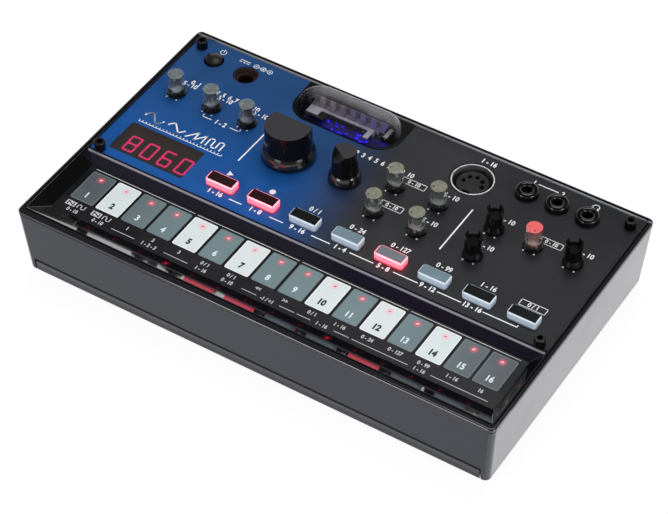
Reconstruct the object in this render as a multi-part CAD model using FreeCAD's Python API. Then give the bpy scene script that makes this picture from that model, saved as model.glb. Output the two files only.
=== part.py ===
"""Analog bass synthesizer: a compact battery powered desktop instrument.

All sizes are millimetres. +Z is up, +X runs to the player's right and +Y to the back edge.
The origin is the centre of the footprint, on the surface that the feet stand on.
"""
import FreeCAD
import Part
import math
import os

# Case and cover
body_width = 193.0
body_depth = 115.0
body_height = 29.1
foot_height = 1.8
case_draft = 1.9
corner_radius = 2.2
case_wall = 2.0
floor_thickness = 2.0
bottom_edge_radius = 0.9
cover_edge = 1.1
cover_edge_radius = 0.8
seam_height = 0.45
seam_depth = 0.6
seam_round = 0.3
rim_side = 2.4
rim_back = 2.2
rim_front = 3.4
pocket_corner = 1.2
pocket_round = 0.3
rim_groove_inset = 0.65
rim_groove_width = 0.5
rim_groove_depth = 0.4
panel_drop = 0.6
sheet_thickness = 0.5
deck_thickness = 2.0
cover_clearance = 0.15
fit_gap = 0.1
running_gap = 0.25
moulding_corner = 1.0
small_corner = 0.6
end_flat = 0.005
level_slack = 0.0001

# Keyboard recess and touch keyboard
recess_length = 36.75
recess_drop = 3.5
recess_land = 0.8
recess_round = 0.2
recess_bevel = 0.4
recess_lap = 0.35
recess_side_run = 4.55
recess_back_run = 3.6
recess_front_run = 8.55
recess_frame = 2.6
recess_front_frame = 5.0
recess_corner = 0.4
key_count = 16
white_keys = (2, 5, 7, 10, 12, 14)
key_side_margin = 2.05
key_gap = 1.18
key_length = 15.1
key_corner = 0.7
key_back_margin = 2.1
key_inlay_depth = 0.25
key_proud = 0.15
key_led_inset = 2.8
key_led_hole = 1.2
plate_thickness = 1.6
plate_overlap = 1.5
plate_rib = 1.1
plate_rib_width = 1.5
board_thickness = 1.2

# Control grid: columns in steps from the centre, rows in steps from the front of the panel
column_count = 12.0
row_count = 4.8

# Main board and what stands on it
board_drop = 9.6
main_board_thickness = 1.6
main_board_margin = 4.4
post_clearance = 0.4
pot_size = 8.6
pot_height = 5.2
pot_neck_radius = 4.0
shaft_radius = 3.0
shaft_clearance = 0.05
shaft_hole_gap = 0.35
shaft_end_gap = 0.9
switch_size = 6.0
switch_height = 3.5
plunger_radius = 1.6
plunger_height = 0.7
led_length = 1.6
led_width = 0.8
led_height = 0.7

# Small lit knobs
small_knob_radius = 2.95
small_knob_height = 9.7
small_knob_round = 0.45
skirt_radius = 3.64
skirt_height = 1.5
skirt_bevel = 0.5
skirt_gap = 0.25
spindle_radius = 1.9
spindle_gap = 0.05
spindle_top_gap = 1.6
pointer_dimple = 0.38
pointer_dimple_depth = 0.5
pointer_reach = 0.68

# Crown shaft knobs
crown_radius = 3.05
crown_base_radius = 3.75
crown_neck_radius = 3.15
crown_height = 10.0
crown_base_height = 1.15
crown_cone_height = 2.95
crown_bore = 2.3
crown_bore_depth = 2.6
crown_notch_width = 3.2
crown_notch_depth = 2.2

# Pointer knobs
big_radius = 8.6
big_body_radius = 8.8
big_skirt_radius = 10.05
big_height = 14.8
big_facet = 3.6
peak_radius = 4.3
peak_body_radius = 5.0
peak_skirt_radius = 6.05
peak_height = 13.8
peak_facet = 1.9
facet_slope = 54.0
knob_gap = 0.3
knob_edge = 0.25
skirt_edge_share = 1.3
flare_height_share = 2.4
flare_bulge = 0.66

# Buttons
button_count = 8
button_width = 11.4
button_depth = 5.2
button_corner = 1.1
button_height = 2.9
button_edge = 0.4
button_travel = 0.6
button_switch_gap = 0.05
flange_lip = 1.0
flange_thickness = 1.0
stem_radius = 1.5
power_radius = 3.25
power_height = 1.9
power_dome = 0.9
power_hole_gap = 0.6

# Display
display_width = 31.5
display_depth = 15.2
display_corner = 0.8
lens_thickness = 1.5
module_margin = 0.6
module_gap = 0.3

# Tube window
bezel_side = 1.8
bezel_front = 0.7
bezel_back = 1.3
bezel_corner = 9.0
bezel_proud = 0.1
dome_length = 41.6
dome_width = 17.0
dome_height = 4.4
dome_wall = 1.2
dome_round = 2.6
dome_seat = 1.5
tray_depth = 7.2
tray_floor = 1.0
tray_wall = 0.6
tray_ledge = 1.1
glass_length = 38.6
glass_depth = 11.8
substrate_thickness = 1.0
glass_height = 3.5
glass_wall = 0.5
glass_lip = 0.5
electrode_thickness = 0.4
electrode_lift = 0.3
electrode_margin = 0.9
frame_share = 0.44
frame_bar = 1.3
hook_share = 0.56
hook_width = 2.0
end_plate_length = 8.0
clip_share = 0.76
clip_length = 3.4
lead_count = 7
lead_width = 1.6
lead_height = 1.0
lamp_count = 5

# Sockets
socket_corner = 0.8
neck_overlap = 1.0
jack_collar_radius = 4.35
jack_collar_height = 2.8
jack_collar_side = 1.2
jack_mouth_depth = 1.0
jack_neck_radius = 3.9
jack_bore = 1.8
jack_bore_length = 2.0
jack_inner_bore = 2.1
jack_body_width = 8.6
jack_body_depth = 11.0
jack_floor = 1.0
midi_ring_outer = 7.93
midi_ring_inner = 7.46
midi_ring_relief = 0.24
midi_housing_radius = 8.7
midi_insert_radius = 5.9
midi_insert_drop = 1.8
midi_floor = 1.4
midi_pin_circle = 3.7
midi_pin_radius = 0.75
midi_pin_lead = 0.35
midi_pin_depth = 5.0
midi_pins = 5
midi_key_width = 3.0
midi_key_depth = 1.5
midi_key_length = 5.0
dc_hole_radius = 4.85
dc_neck_radius = 4.6
dc_drop = 0.4
dc_mouth_radius = 4.2
dc_mouth_depth = 2.0
dc_bore = 3.0
dc_bore_length = 2.2
dc_inner_bore = 3.4
dc_pin_radius = 1.0
dc_pin_round = 0.4
dc_body_width = 10.4
dc_body_depth = 11.4
dc_floor = 1.4

# Screws
screw_inset_side = 6.2
screw_inset_back = 7.3
screw_head_radius = 2.1
screw_head_height = 3.6
screw_head_edge = 0.3
hex_key_width = 2.0
hex_key_depth = 1.8
screw_radius = 1.25
screw_length = 10.0
screw_hole_gap = 0.2
boss_radius = 3.0
case_screw_head_radius = 2.2
case_screw_head_height = 1.6
case_screw_length = 10.0
case_boss_height = 6.2
case_screw_seat = 4.7
post_radius = 2.4
case_boss_radius = 3.4
screw_slot_width = 0.6
screw_slot_length = 2.6

# Batteries, their bay and the door
cell_radius = 7.1
cell_length = 49.5
cell_nub_radius = 2.75
cell_nub_length = 1.0
cells_per_row = 3
row_spacing = 14.8
bay_gap = 0.4
bay_wall = 1.3
contact_thickness = 0.4
contact_spring = 2.0
contact_size = 11.4
spring_base = 3.2
spring_tip = 2.2
door_side_margin = 3.3
door_thickness = 2.0
door_lip_height = 5.2
door_gap = 0.3
lip_gap = 0.6
lip_round = 0.4
tongue_width = 14.0
tongue_length = 4.2
tongue_thickness = 0.9
tongue_count = 4
grip_grooves = 5
grip_start = 7.8
grip_length = 22.0
grip_pitch = 2.6
grip_width = 1.2
grip_depth = 0.5

# Speaker and feet
speaker_radius = 18.0
speaker_height = 6.5
speaker_rim = 2.0
speaker_flange = 1.2
magnet_radius = 9.0
magnet_height = 3.0
cone_depth = 2.4
coil_radius = 4.5
grille_slots = 7
grille_pitch = 4.0
grille_slot = 1.8
foot_radius = 5.0
foot_inset = 14.0
foot_edge = 0.4

# Levels, from the surface up
case_bottom = foot_height
floor_top = case_bottom + floor_thickness
rim_top = case_bottom + body_height
cover_seat = rim_top - cover_edge
panel_top = rim_top - panel_drop
sheet_bottom = panel_top - sheet_thickness
deck_bottom = sheet_bottom - deck_thickness
key_top = panel_top - recess_drop
plate_bottom = key_top - plate_thickness
key_board_top = plate_bottom - plate_rib
board_top = panel_top - board_drop
board_bottom = board_top - main_board_thickness
post_bottom = case_bottom + case_boss_height
screw_seat = case_bottom + case_screw_seat
socket_top = deck_bottom - fit_gap
stem_bottom = board_top + switch_height + plunger_height + button_travel + button_switch_gap
tray_top = panel_top - tray_depth + tray_floor
glass_base = tray_top + substrate_thickness

# Panel outline and control grid
pocket_half = body_width / 2 - rim_side
pocket_back = body_depth / 2 - rim_back
pocket_front = rim_front - body_depth / 2
recess_front = pocket_front - recess_lap
recess_back = recess_front + recess_length
recess_half = pocket_half + recess_lap
recess_rise = rim_top - key_top
floor_half = recess_half - recess_side_run
floor_front = recess_front + recess_front_run
floor_back = recess_back - recess_back_run
panel_front = recess_back + recess_land
column_step = 2 * pocket_half / column_count
row_step = (pocket_back - panel_front) / row_count
key_pitch = 2 * (floor_half - key_side_margin) / key_count
key_back = floor_back - key_back_margin
all_keys = tuple(range(1, key_count + 1))
grey_keys = tuple(n for n in all_keys if n not in white_keys)

# Door, bay and cells
door_half = body_width / 2 - case_draft - door_side_margin
door_top = case_bottom + door_thickness
shelf_bottom = door_top + door_gap
lip_top = case_bottom + door_lip_height
cell_axis_z = shelf_bottom + bay_wall + cell_radius + bay_gap / 2
front_wall_inner = case_draft + case_wall - body_depth / 2
bay_front = front_wall_inner + bay_wall
bay_back = bay_front + 2 * bay_gap + 2 * cell_radius + row_spacing
cell_rows = (bay_front + bay_gap + cell_radius, bay_back - bay_gap - cell_radius)
cell_run = cells_per_row * (cell_length + cell_nub_length)
bay_half = cell_run / 2 + contact_spring + contact_thickness
bay_top = cell_axis_z + cell_radius + bay_gap
door_back = bay_back + bay_wall + door_gap


def column(steps):
    """X of a control column."""
    return steps * column_step


def row(steps):
    """Y of a control row."""
    return panel_front + steps * row_step


# Small lit knobs: name, column, row and the angle of the pointer about +Z from +X
small_knobs = (
    ("pitch", column(-5.345), row(2.706), 222.0),
    ("saturation", column(-4.349), row(2.706), 225.0),
    ("level", column(-3.354), row(2.706), 230.0),
    ("attack", column(0.665), row(2.706), 201.0),
    ("decay", column(1.786), row(2.706), 212.0),
    ("envelope", column(0.665), row(1.709), 231.0),
    ("accent", column(1.786), row(1.709), 230.0),
    ("tempo", column(4.22), row(2.706), 300.0),
)
crown_knobs = (
    ("drive", column(3.227), row(2.706), 302.0),
    ("tone", column(3.227), row(1.709), 302.0),
    ("volume", column(5.216), row(2.706), 302.0),
)
cutoff_at = (column(-1.958), row(2.3))
peak_at = (column(-0.453), row(2.314))
cutoff_angle = 90.0
peak_angle = 237.0
pot_places = (
    [(x, y) for _, x, y, _ in small_knobs] + [(x, y) for _, x, y, _ in crown_knobs] + [cutoff_at, peak_at]
)
buttons = [("button_%d" % (i + 1), column(-2.694 + 1.116 * i), row(0.592)) for i in range(button_count)]
power_at = (column(-5.248), row(4.188))
dc_at = (column(-4.323), row(4.162))
midi_at = (column(2.028), row(3.896))
jacks = [(column(3.29 + 0.772 * i), row(4.155)) for i in range(3)]
display_at = (column(-4.626), row(0.771))
tube_x = column(-1.43)
tube_y = pocket_back - fit_gap - bezel_back - dome_width / 2
glass_y = tube_y + dome_width / 2 - tray_ledge - fit_gap - glass_depth / 2
speaker_at = (column(-3.2), row(2.55))
standoffs = [(column(i), row(j)) for i in (-4.6, 0.2, 4.6) for j in (0.5, 4.4)]
screw_half = body_width / 2 - screw_inset_side
panel_screws_at = [
    (side * screw_half, y) for side in (-1, 1) for y in (body_depth / 2 - screw_inset_back, row(0.093))
]
case_screws_at = [(side * screw_half, row(j)) for side in (-1, 1) for j in (1.65, 3.4)]


def vec(x, y, z=0.0):
    return FreeCAD.Vector(x, y, z)


def block(x0, x1, y0, y1, z0, z1):
    """Rectangular solid between two corners."""
    return Part.makeBox(x1 - x0, y1 - y0, z1 - z0, vec(x0, y0, z0))


def disc(x, y, radius, z0, z1):
    """Upright cylinder between two levels."""
    return Part.makeCylinder(radius, z1 - z0, vec(x, y, z0))


def rounded_wire(x0, x1, y0, y1, radius, z):
    """Closed outline of straight sides joined by quarter arcs."""
    corners = (
        (x1 - radius, y1 - radius, 0.0),
        (x0 + radius, y1 - radius, 90.0),
        (x0 + radius, y0 + radius, 180.0),
        (x1 - radius, y0 + radius, 270.0),
    )
    arcs = []
    for cx, cy, start in corners:
        circle = Part.Circle(vec(cx, cy, z), vec(0, 0, 1), radius)
        arcs.append(circle.toShape(math.radians(start), math.radians(start + 90.0)))
    edges = []
    for arc, following in zip(arcs, arcs[1:] + arcs[:1]):
        edges.append(arc)
        end = arc.valueAt(arc.LastParameter)
        start = following.valueAt(following.FirstParameter)
        if end.distanceToPoint(start) > 1e-6:
            edges.append(Part.makeLine(end, start))
    return Part.Wire(edges)


def slab(x0, x1, y0, y1, radius, z0, z1):
    """Plate with rounded upright corners."""
    return Part.Face(rounded_wire(x0, x1, y0, y1, radius, z0)).extrude(vec(0, 0, z1 - z0))


def centred_slab(x, y, width, depth, radius, z0, z1):
    return slab(x - width / 2, x + width / 2, y - depth / 2, y + depth / 2, radius, z0, z1)


def turned(x, y, profile):
    """Solid of revolution about the upright axis at (x, y); profile is (radius, z) points."""
    points = [vec(x + r, y, z) for r, z in profile]
    face = Part.Face(Part.makePolygon(points + points[:1]))
    return face.revolve(vec(x, y), vec(0, 0, 1), 360)


def turned_edges(x, y, edges):
    """Solid of revolution from a closed run of lines and arcs in the plane y."""
    return Part.Face(Part.Wire(edges)).revolve(vec(x, y), vec(0, 0, 1), 360)


def flat_edges(shape, z):
    """Edges of a shape that lie wholly at one level."""
    found = []
    for edge in shape.Edges:
        box = edge.BoundBox
        if abs(box.ZMin - z) < level_slack and abs(box.ZMax - z) < level_slack:
            found.append(edge)
    return found


def edges_inside(shape, z, half, front, back):
    """Edges at one level that lie within a rectangle of the plan."""
    found = []
    for edge in flat_edges(shape, z):
        box = edge.BoundBox
        inside_x = box.XMin > -half - level_slack and box.XMax < half + level_slack
        inside_y = box.YMin > front - level_slack and box.YMax < back + level_slack
        if inside_x and inside_y:
            found.append(edge)
    return found


def round_level(shape, radius, z):
    """Fillet every edge at one level."""
    return shape.makeFillet(radius, flat_edges(shape, z))


def bevel_level(shape, size, z):
    """Chamfer every edge at one level."""
    return shape.makeChamfer(size, flat_edges(shape, z))


def half_width(z):
    """Half width of the drafted case at a level."""
    return body_width / 2 - case_draft * (rim_top - z) / body_height


def half_depth(z):
    """Half depth of the drafted case at a level."""
    return body_depth / 2 - case_draft * (rim_top - z) / body_height


def case_outline(z, inset):
    w = half_width(z) - inset
    d = half_depth(z) - inset
    return rounded_wire(-w, w, -d, d, max(corner_radius - inset, moulding_corner), z)


def drafted(z0, z1, inset):
    """Solid between two levels that follows the drafted sides."""
    return Part.makeLoft([case_outline(z0, inset), case_outline(z1, inset)], True, True)


def case_body():
    """Outer form of the lower case, with its rounded edges below and at the seam."""
    seam = cover_seat - seam_height
    body = round_level(drafted(case_bottom, seam, 0.0), bottom_edge_radius, case_bottom)
    return round_level(body, seam_round, seam)


def door_space(gap, wide_gap):
    """Space of the battery door out past the front and the underside, widened round plate and lip."""
    front = -body_depth
    half = door_half + gap
    lip_half = door_half + wide_gap
    plate = block(-half, half, front, door_back + gap, 0.0, door_top + gap)
    lip = block(-lip_half, lip_half, front, bay_front - bay_wall + gap, 0.0, lip_top + wide_gap)
    return plate.fuse(lip)


def tongue_places():
    return [(i - (tongue_count - 1) / 2) * 2 * bay_half / tongue_count for i in range(tongue_count)]


def bottom_case():
    """Tray with drafted walls, battery bay, bosses and speaker grille."""
    wall_top = slab(
        seam_depth - half_width(cover_seat),
        half_width(cover_seat) - seam_depth,
        seam_depth - half_depth(cover_seat),
        half_depth(cover_seat) - seam_depth,
        corner_radius - seam_depth,
        cover_seat - seam_height,
        cover_seat,
    )
    case = case_body().fuse(wall_top).cut(drafted(floor_top, cover_seat, case_wall))
    bay = block(-bay_half - bay_wall, bay_half + bay_wall, front_wall_inner - case_wall / 2,
                bay_back + bay_wall, shelf_bottom, bay_top + bay_wall)
    shelf = block(-half_width(shelf_bottom) + case_wall / 2, half_width(shelf_bottom) - case_wall / 2,
                  front_wall_inner - case_wall / 2, door_back + door_gap + bay_wall,
                  shelf_bottom, shelf_bottom + bay_wall)
    riser = block(-door_half - door_gap - bay_wall, door_half + door_gap + bay_wall,
                  door_back + door_gap, door_back + door_gap + bay_wall,
                  case_bottom + floor_thickness / 2, shelf_bottom + bay_wall)
    case = case.fuse([bay, shelf, riser])
    cell_space = block(-bay_half, bay_half, bay_front, bay_back, 0.0, bay_top)
    case = case.cut([door_space(door_gap, lip_gap), cell_space])
    for x in tongue_places():
        half = tongue_width / 2 + door_gap
        case = case.cut(block(x - half, x + half, door_back, door_back + tongue_length + door_gap,
                              door_top - tongue_thickness - fit_gap, door_top + fit_gap))
    bosses = [disc(x, y, boss_radius, floor_top, deck_bottom) for x, y in panel_screws_at]
    bosses += [disc(x, y, case_boss_radius, floor_top, post_bottom) for x, y in case_screws_at]
    bosses += [disc(x, y, boss_radius, floor_top, board_bottom) for x, y in standoffs]
    case = case.fuse(bosses)
    holes = [disc(x, y, screw_radius, deck_bottom - screw_length, deck_bottom)
             for x, y in panel_screws_at]
    for x, y in case_screws_at:
        holes.append(disc(x, y, case_screw_head_radius + screw_hole_gap, 0.0, screw_seat))
        holes.append(disc(x, y, screw_radius + screw_hole_gap, 0.0, post_bottom))
    return case.cut(holes + speaker_slots())


def speaker_slots():
    """Sound slots in the floor, each as long as the cone is wide there."""
    x, y = speaker_at
    reach = speaker_radius - 2 * speaker_rim
    slots = []
    for i in range(grille_slots):
        offset = (i - (grille_slots - 1) / 2) * grille_pitch
        length = 2 * math.sqrt(max(reach ** 2 - offset ** 2, grille_slot ** 2))
        slots.append(stadium(x, y + offset, length, grille_slot, 0.0, floor_top))
    return slots


def battery_door():
    """Sliding door with the front lip, rear tongues and grip grooves."""
    body = case_body().common(door_space(0.0, 0.0))
    behind = block(-body_width, body_width, bay_front - bay_wall, body_depth, door_top, body_height)
    door = round_level(body.cut(behind), lip_round, lip_top)
    for x in tongue_places():
        half = tongue_width / 2
        door = door.fuse(block(x - half, x + half, door_back - tongue_length, door_back + tongue_length,
                               door_top - tongue_thickness, door_top))
    grooves = []
    for i in range(grip_grooves):
        y = grip_start - half_depth(case_bottom) + i * grip_pitch
        grooves.append(stadium(0, y, grip_length, grip_width, 0.0, case_bottom + grip_depth))
    return door.cut(grooves)


def recess_space():
    """Sloped funnel from the touch keyboard up to the rim; at the back it meets the panel's level."""
    low = rounded_wire(-floor_half, floor_half, floor_front, floor_back, recess_corner, key_top)
    back = floor_back + recess_back_run * recess_rise / recess_drop
    high = rounded_wire(-recess_half, recess_half, recess_front, back, recess_corner, rim_top)
    return Part.makeLoft([low, high], True, True)


def bezel_form(gap, z0, z1):
    """Tube bezel plate: rounded at the front, square against the back rim."""
    half = dome_length / 2 + bezel_side + gap
    back = tube_y + dome_width / 2 + bezel_back + gap
    front = tube_y - dome_width / 2 - bezel_front - gap
    rounding = min(bezel_corner, half - end_flat)
    form = slab(tube_x - half, tube_x + half, front, back + rounding, rounding, z0, z1)
    return form.common(block(tube_x - half, tube_x + half, front, back, z0, z1))


def tray_form(gap, z0, z1):
    """Outside of the box under the tube window."""
    width = dome_length + 2 * (fit_gap + tray_wall + gap)
    depth = dome_width + 2 * (fit_gap + tray_wall + gap)
    return centred_slab(tube_x, tube_y, width, depth, moulding_corner, z0, z1)


def stadium(x, y, length, width, z0, z1):
    """Upright solid with straight long sides and round ends."""
    return centred_slab(x, y, length, width, width / 2 - end_flat, z0, z1)


def control_openings(z0, z1, gap, flush):
    """Openings that every layer over the controls shares; flush adds those of the outer sheet."""
    cuts = [disc(x, y, shaft_radius + shaft_hole_gap + gap, z0, z1) for x, y in pot_places]
    for _, x, y in buttons:
        half = running_gap + gap
        cuts.append(centred_slab(x, y, button_width + 2 * half, button_depth + 2 * half,
                                 button_corner + half, z0, z1))
    cuts.append(disc(*power_at, power_radius + power_hole_gap + gap, z0, z1))
    cuts += [disc(x, y, jack_neck_radius + fit_gap + gap, z0, z1) for x, y in jacks]
    cuts += [disc(x, y, screw_radius + screw_hole_gap + gap, z0, z1) for x, y in panel_screws_at]
    if flush:
        cuts.append(disc(*dc_at, dc_hole_radius, z0, z1))
        cuts.append(disc(*midi_at, midi_housing_radius + fit_gap, z0, z1))
        cuts.append(centred_slab(*display_at, display_width + 2 * fit_gap, display_depth + 2 * fit_gap,
                                 display_corner, z0, z1))
    else:
        cuts.append(disc(*dc_at, dc_neck_radius + fit_gap, z0, z1))
        cuts.append(disc(*midi_at, midi_housing_radius + fit_gap + gap, z0, z1))
        cuts.append(centred_slab(*display_at, display_width + 2 * fit_gap, display_depth + 2 * fit_gap,
                                 display_corner, z0, z1))
    return cuts


def rim_groove():
    """Narrow groove in the rim, parallel to the pocket."""
    ring = []
    for grow in (rim_groove_inset + rim_groove_width, rim_groove_inset):
        ring.append(slab(-pocket_half - grow, pocket_half + grow, pocket_front - grow, pocket_back + grow,
                         pocket_corner + grow, rim_top - rim_groove_depth, rim_top))
    return ring[0].cut(ring[1])


def top_cover():
    """Black upper moulding: rim, deck under the panel sheet and the keyboard recess."""
    w = body_width / 2
    d = body_depth / 2
    rim = round_level(slab(-w, w, -d, d, corner_radius, cover_seat, rim_top), cover_edge_radius, rim_top)
    core_w = half_width(deck_bottom) - case_wall - cover_clearance
    core_d = half_depth(deck_bottom) - case_wall - cover_clearance
    core = slab(-core_w, core_w, -core_d, core_d, moulding_corner, deck_bottom, cover_seat)
    frame = slab(-floor_half - recess_frame, floor_half + recess_frame, floor_front - recess_front_frame,
                 floor_back + recess_frame, moulding_corner, key_top, deck_bottom)
    posts = [disc(x, y, post_radius, post_bottom, deck_bottom) for x, y in case_screws_at]
    cover = rim.fuse([core, frame] + posts)
    pocket = slab(-pocket_half, pocket_half, pocket_front, pocket_back, pocket_corner, panel_top, rim_top)
    pocket = pocket.common(block(-w, w, recess_back, d, panel_top, rim_top))
    seat = slab(-pocket_half, pocket_half, panel_front, pocket_back, pocket_corner, sheet_bottom, panel_top)
    cover = cover.cut([pocket, seat])
    cover = cover.makeFillet(pocket_round, edges_inside(cover, rim_top, pocket_half, recess_back,
                                                        pocket_back))
    cover = cover.cut(recess_space())
    cover = cover.makeChamfer(recess_bevel, edges_inside(cover, panel_top, pocket_half - recess_lap,
                                                         recess_back, recess_back))
    cover = cover.makeFillet(recess_round, edges_inside(cover, rim_top, recess_half, recess_front,
                                                        recess_back))
    cover = cover.cut([rim_groove(), tray_form(fit_gap, deck_bottom, sheet_bottom)])
    holes = [disc(x, y, screw_radius, post_bottom, screw_seat + case_screw_length)
             for x, y in case_screws_at]
    return cover.cut(control_openings(deck_bottom, sheet_bottom, fit_gap, False) + holes)


def face_panel():
    """Printed panel sheet laid in the cover, with every opening of the controls."""
    sheet = slab(fit_gap - pocket_half, pocket_half - fit_gap, panel_front + fit_gap, pocket_back - fit_gap,
                 pocket_corner - fit_gap, sheet_bottom, panel_top)
    sheet = sheet.cut(bezel_form(fit_gap, sheet_bottom, panel_top))
    return sheet.cut(control_openings(sheet_bottom, panel_top, 0.0, True))


def key_places(numbers):
    """Centres of the numbered keys, counted from the left."""
    return [((n - (key_count + 1) / 2) * key_pitch, key_back - key_length / 2) for n in numbers]


def keys(numbers):
    """Touch keys laid into the keyboard plate."""
    pads = []
    for x, y in key_places(numbers):
        pads.append(centred_slab(x, y, key_pitch - key_gap, key_length, key_corner,
                                 key_top - key_inlay_depth, key_top + key_proud))
    return pads


def keyboard_plate():
    """Plate under the recess, with shallow seats for the keys and light holes."""
    half = floor_half + plate_overlap
    front = floor_front - plate_overlap
    back = floor_back + plate_overlap
    plate = slab(-half, half, front, back, moulding_corner, plate_bottom, key_top)
    rib = slab(-half, half, front, back, moulding_corner, key_board_top, plate_bottom)
    rib = rib.cut(block(plate_rib_width - half, half - plate_rib_width, front + plate_rib_width,
                        back - plate_rib_width, key_board_top, plate_bottom))
    holes = [disc(x, key_back - key_led_inset, key_led_hole, plate_bottom, key_top)
             for x, _ in key_places(all_keys)]
    return plate.fuse(rib).cut(keys(all_keys) + holes)


def keyboard_board():
    half = floor_half + plate_overlap - fit_gap
    return slab(-half, half, floor_front - plate_overlap, floor_back + plate_overlap, moulding_corner,
                key_board_top - board_thickness, key_board_top)


def led(x, y, z):
    """Surface mounted lamp."""
    return block(x - led_length / 2, x + led_length / 2, y - led_width / 2, y + led_width / 2,
                 z, z + led_height)


def step_leds():
    return [led(x, key_back - key_led_inset, key_board_top) for x, _ in key_places(all_keys)]


def button_leds():
    reach = switch_size / 2 + led_length / 2 + fit_gap
    return [led(x + reach, y, board_top) for _, x, y in buttons]


def main_board():
    """Circuit board under the panel, notched round the bosses and posts."""
    half = body_width / 2 - case_wall - case_draft - main_board_margin / 2
    board = slab(-half, half, panel_front + fit_gap, pocket_back - main_board_margin / 2,
                 moulding_corner, board_bottom, board_top)
    notches = [disc(x, y, boss_radius + post_clearance, board_bottom, board_top)
               for x, y in panel_screws_at + case_screws_at]
    return board.cut(notches)


def button_switches():
    """Push switches on the board under each button."""
    switches = []
    for x, y in [(x, y) for _, x, y in buttons] + [power_at]:
        half = switch_size / 2
        body = block(x - half, x + half, y - half, y + half, board_top, board_top + switch_height)
        plunger = disc(x, y, plunger_radius, board_top + switch_height,
                       board_top + switch_height + plunger_height)
        switches.append(body.fuse(plunger))
    return switches


def pot_bodies():
    """Rotary controls on the board, each with the bore that its shaft turns in."""
    pots = []
    for x, y in pot_places:
        half = pot_size / 2
        body = block(x - half, x + half, y - half, y + half, board_top, board_top + pot_height)
        neck = disc(x, y, pot_neck_radius, board_top + pot_height, deck_bottom - fit_gap)
        bore = disc(x, y, shaft_radius + shaft_clearance, board_top + shaft_end_gap, deck_bottom)
        pots.append(body.fuse(neck).cut(bore))
    return pots


def shaft_foot(x, y, top):
    """Lower end of a control shaft, turning in its pot."""
    return disc(x, y, shaft_radius, board_top + shaft_end_gap + running_gap, top)


def spindle(x, y):
    """Black shaft of a small knob: round skirt over the panel and a core inside the cap."""
    low = panel_top + skirt_gap
    skirt = turned(x, y, [(0, low), (skirt_radius, low), (skirt_radius, low + skirt_height - skirt_bevel),
                          (skirt_radius - skirt_bevel, low + skirt_height), (0, low + skirt_height)])
    core = disc(x, y, spindle_radius, low, panel_top + small_knob_height - spindle_top_gap)
    return shaft_foot(x, y, low + skirt_height / 2).fuse([skirt, core])


def small_cap(x, y, angle):
    """Clear cap of a small knob, hollow over the spindle, with a pointer dimple at the rim."""
    low = panel_top + skirt_gap + skirt_height
    top = panel_top + small_knob_height
    cap = round_level(disc(x, y, small_knob_radius, low, top), small_knob_round, top)
    cap = cap.cut(disc(x, y, spindle_radius + spindle_gap, low, top - spindle_top_gap + spindle_gap))
    reach = small_knob_radius * pointer_reach
    px = x + reach * math.cos(math.radians(angle))
    py = y + reach * math.sin(math.radians(angle))
    return cap.cut(disc(px, py, pointer_dimple, top - pointer_dimple_depth, top))


def crown_knob(x, y, angle):
    """Black shaft knob with a flared foot and a slot across its crown."""
    low = panel_top + skirt_gap
    top = panel_top + crown_height
    knob = turned(x, y, [(0, low), (crown_base_radius, low), (crown_base_radius, low + crown_base_height),
                         (crown_neck_radius, low + crown_cone_height), (crown_radius, top), (0, top)])
    knob = knob.cut(disc(x, y, crown_bore, top - crown_bore_depth, top))
    slot = block(-crown_base_radius, crown_base_radius, -crown_notch_width / 2, crown_notch_width / 2,
                 top - crown_notch_depth, top)
    slot.rotate(vec(0, 0), vec(0, 0, 1), angle)
    slot.translate(vec(x, y))
    return knob.cut(slot).fuse(shaft_foot(x, y, low + crown_base_height / 2))


def pointer_knob(at, radius, body_radius, skirt, height, facet, angle):
    """Turned knob with a flared skirt and one slanted facet that shows where it points."""
    x, y = at
    low = panel_top + knob_gap
    top = panel_top + height
    flare = skirt - body_radius
    edge_top = low + skirt_edge_share * flare
    start = vec(x + skirt, y, edge_top)
    end = vec(x + body_radius, y, edge_top + flare_height_share * flare)
    middle = vec(x + body_radius + flare_bulge * flare, y, edge_top + flare_height_share * flare / 2)
    edges = [
        Part.makeLine(vec(x, y, low), vec(x + skirt, y, low)),
        Part.makeLine(vec(x + skirt, y, low), start),
        Part.Arc(start, middle, end).toShape(),
        Part.makeLine(end, vec(x + radius, y, top)),
        Part.makeLine(vec(x + radius, y, top), vec(x, y, top)),
        Part.makeLine(vec(x, y, top), vec(x, y, low)),
    ]
    knob = bevel_level(turned_edges(x, y, edges), knob_edge, top)
    drop = (skirt - facet) * math.tan(math.radians(facet_slope))
    wedge_face = Part.Face(Part.makePolygon([
        vec(facet, -skirt, height), vec(skirt, -skirt, height), vec(skirt, -skirt, height - drop),
        vec(facet, -skirt, height),
    ]))
    wedge = wedge_face.extrude(vec(0, 2 * skirt, 0))
    wedge.rotate(vec(0, 0), vec(0, 0, 1), angle)
    wedge.translate(vec(x, y, panel_top))
    return knob.cut(wedge).fuse(shaft_foot(x, y, low + flare))


def button_cap(x, y):
    """Function button: bevelled cap, retaining flange under the deck and stem."""
    top = panel_top + button_height
    cap = centred_slab(x, y, button_width, button_depth, button_corner, deck_bottom - fit_gap, top)
    cap = bevel_level(cap, button_edge, top)
    flange = centred_slab(x, y, button_width + 2 * flange_lip, button_depth + 2 * flange_lip,
                          button_corner + flange_lip, deck_bottom - fit_gap - flange_thickness,
                          deck_bottom - fit_gap)
    stem = disc(x, y, stem_radius, stem_bottom, deck_bottom - fit_gap)
    return cap.fuse([flange, stem])


def power_button():
    """Round power button: a plug under a spherical crown."""
    x, y = power_at
    low = deck_bottom - fit_gap
    crown = panel_top + power_height
    ball = (power_radius ** 2 + power_dome ** 2) / (2 * power_dome)
    cap = disc(x, y, power_radius, low, crown).common(Part.makeSphere(ball, vec(x, y, crown - ball)))
    flange = disc(x, y, power_radius + power_hole_gap + flange_lip, low - flange_thickness, low)
    return cap.fuse([flange, disc(x, y, stem_radius, stem_bottom, low)])


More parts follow.
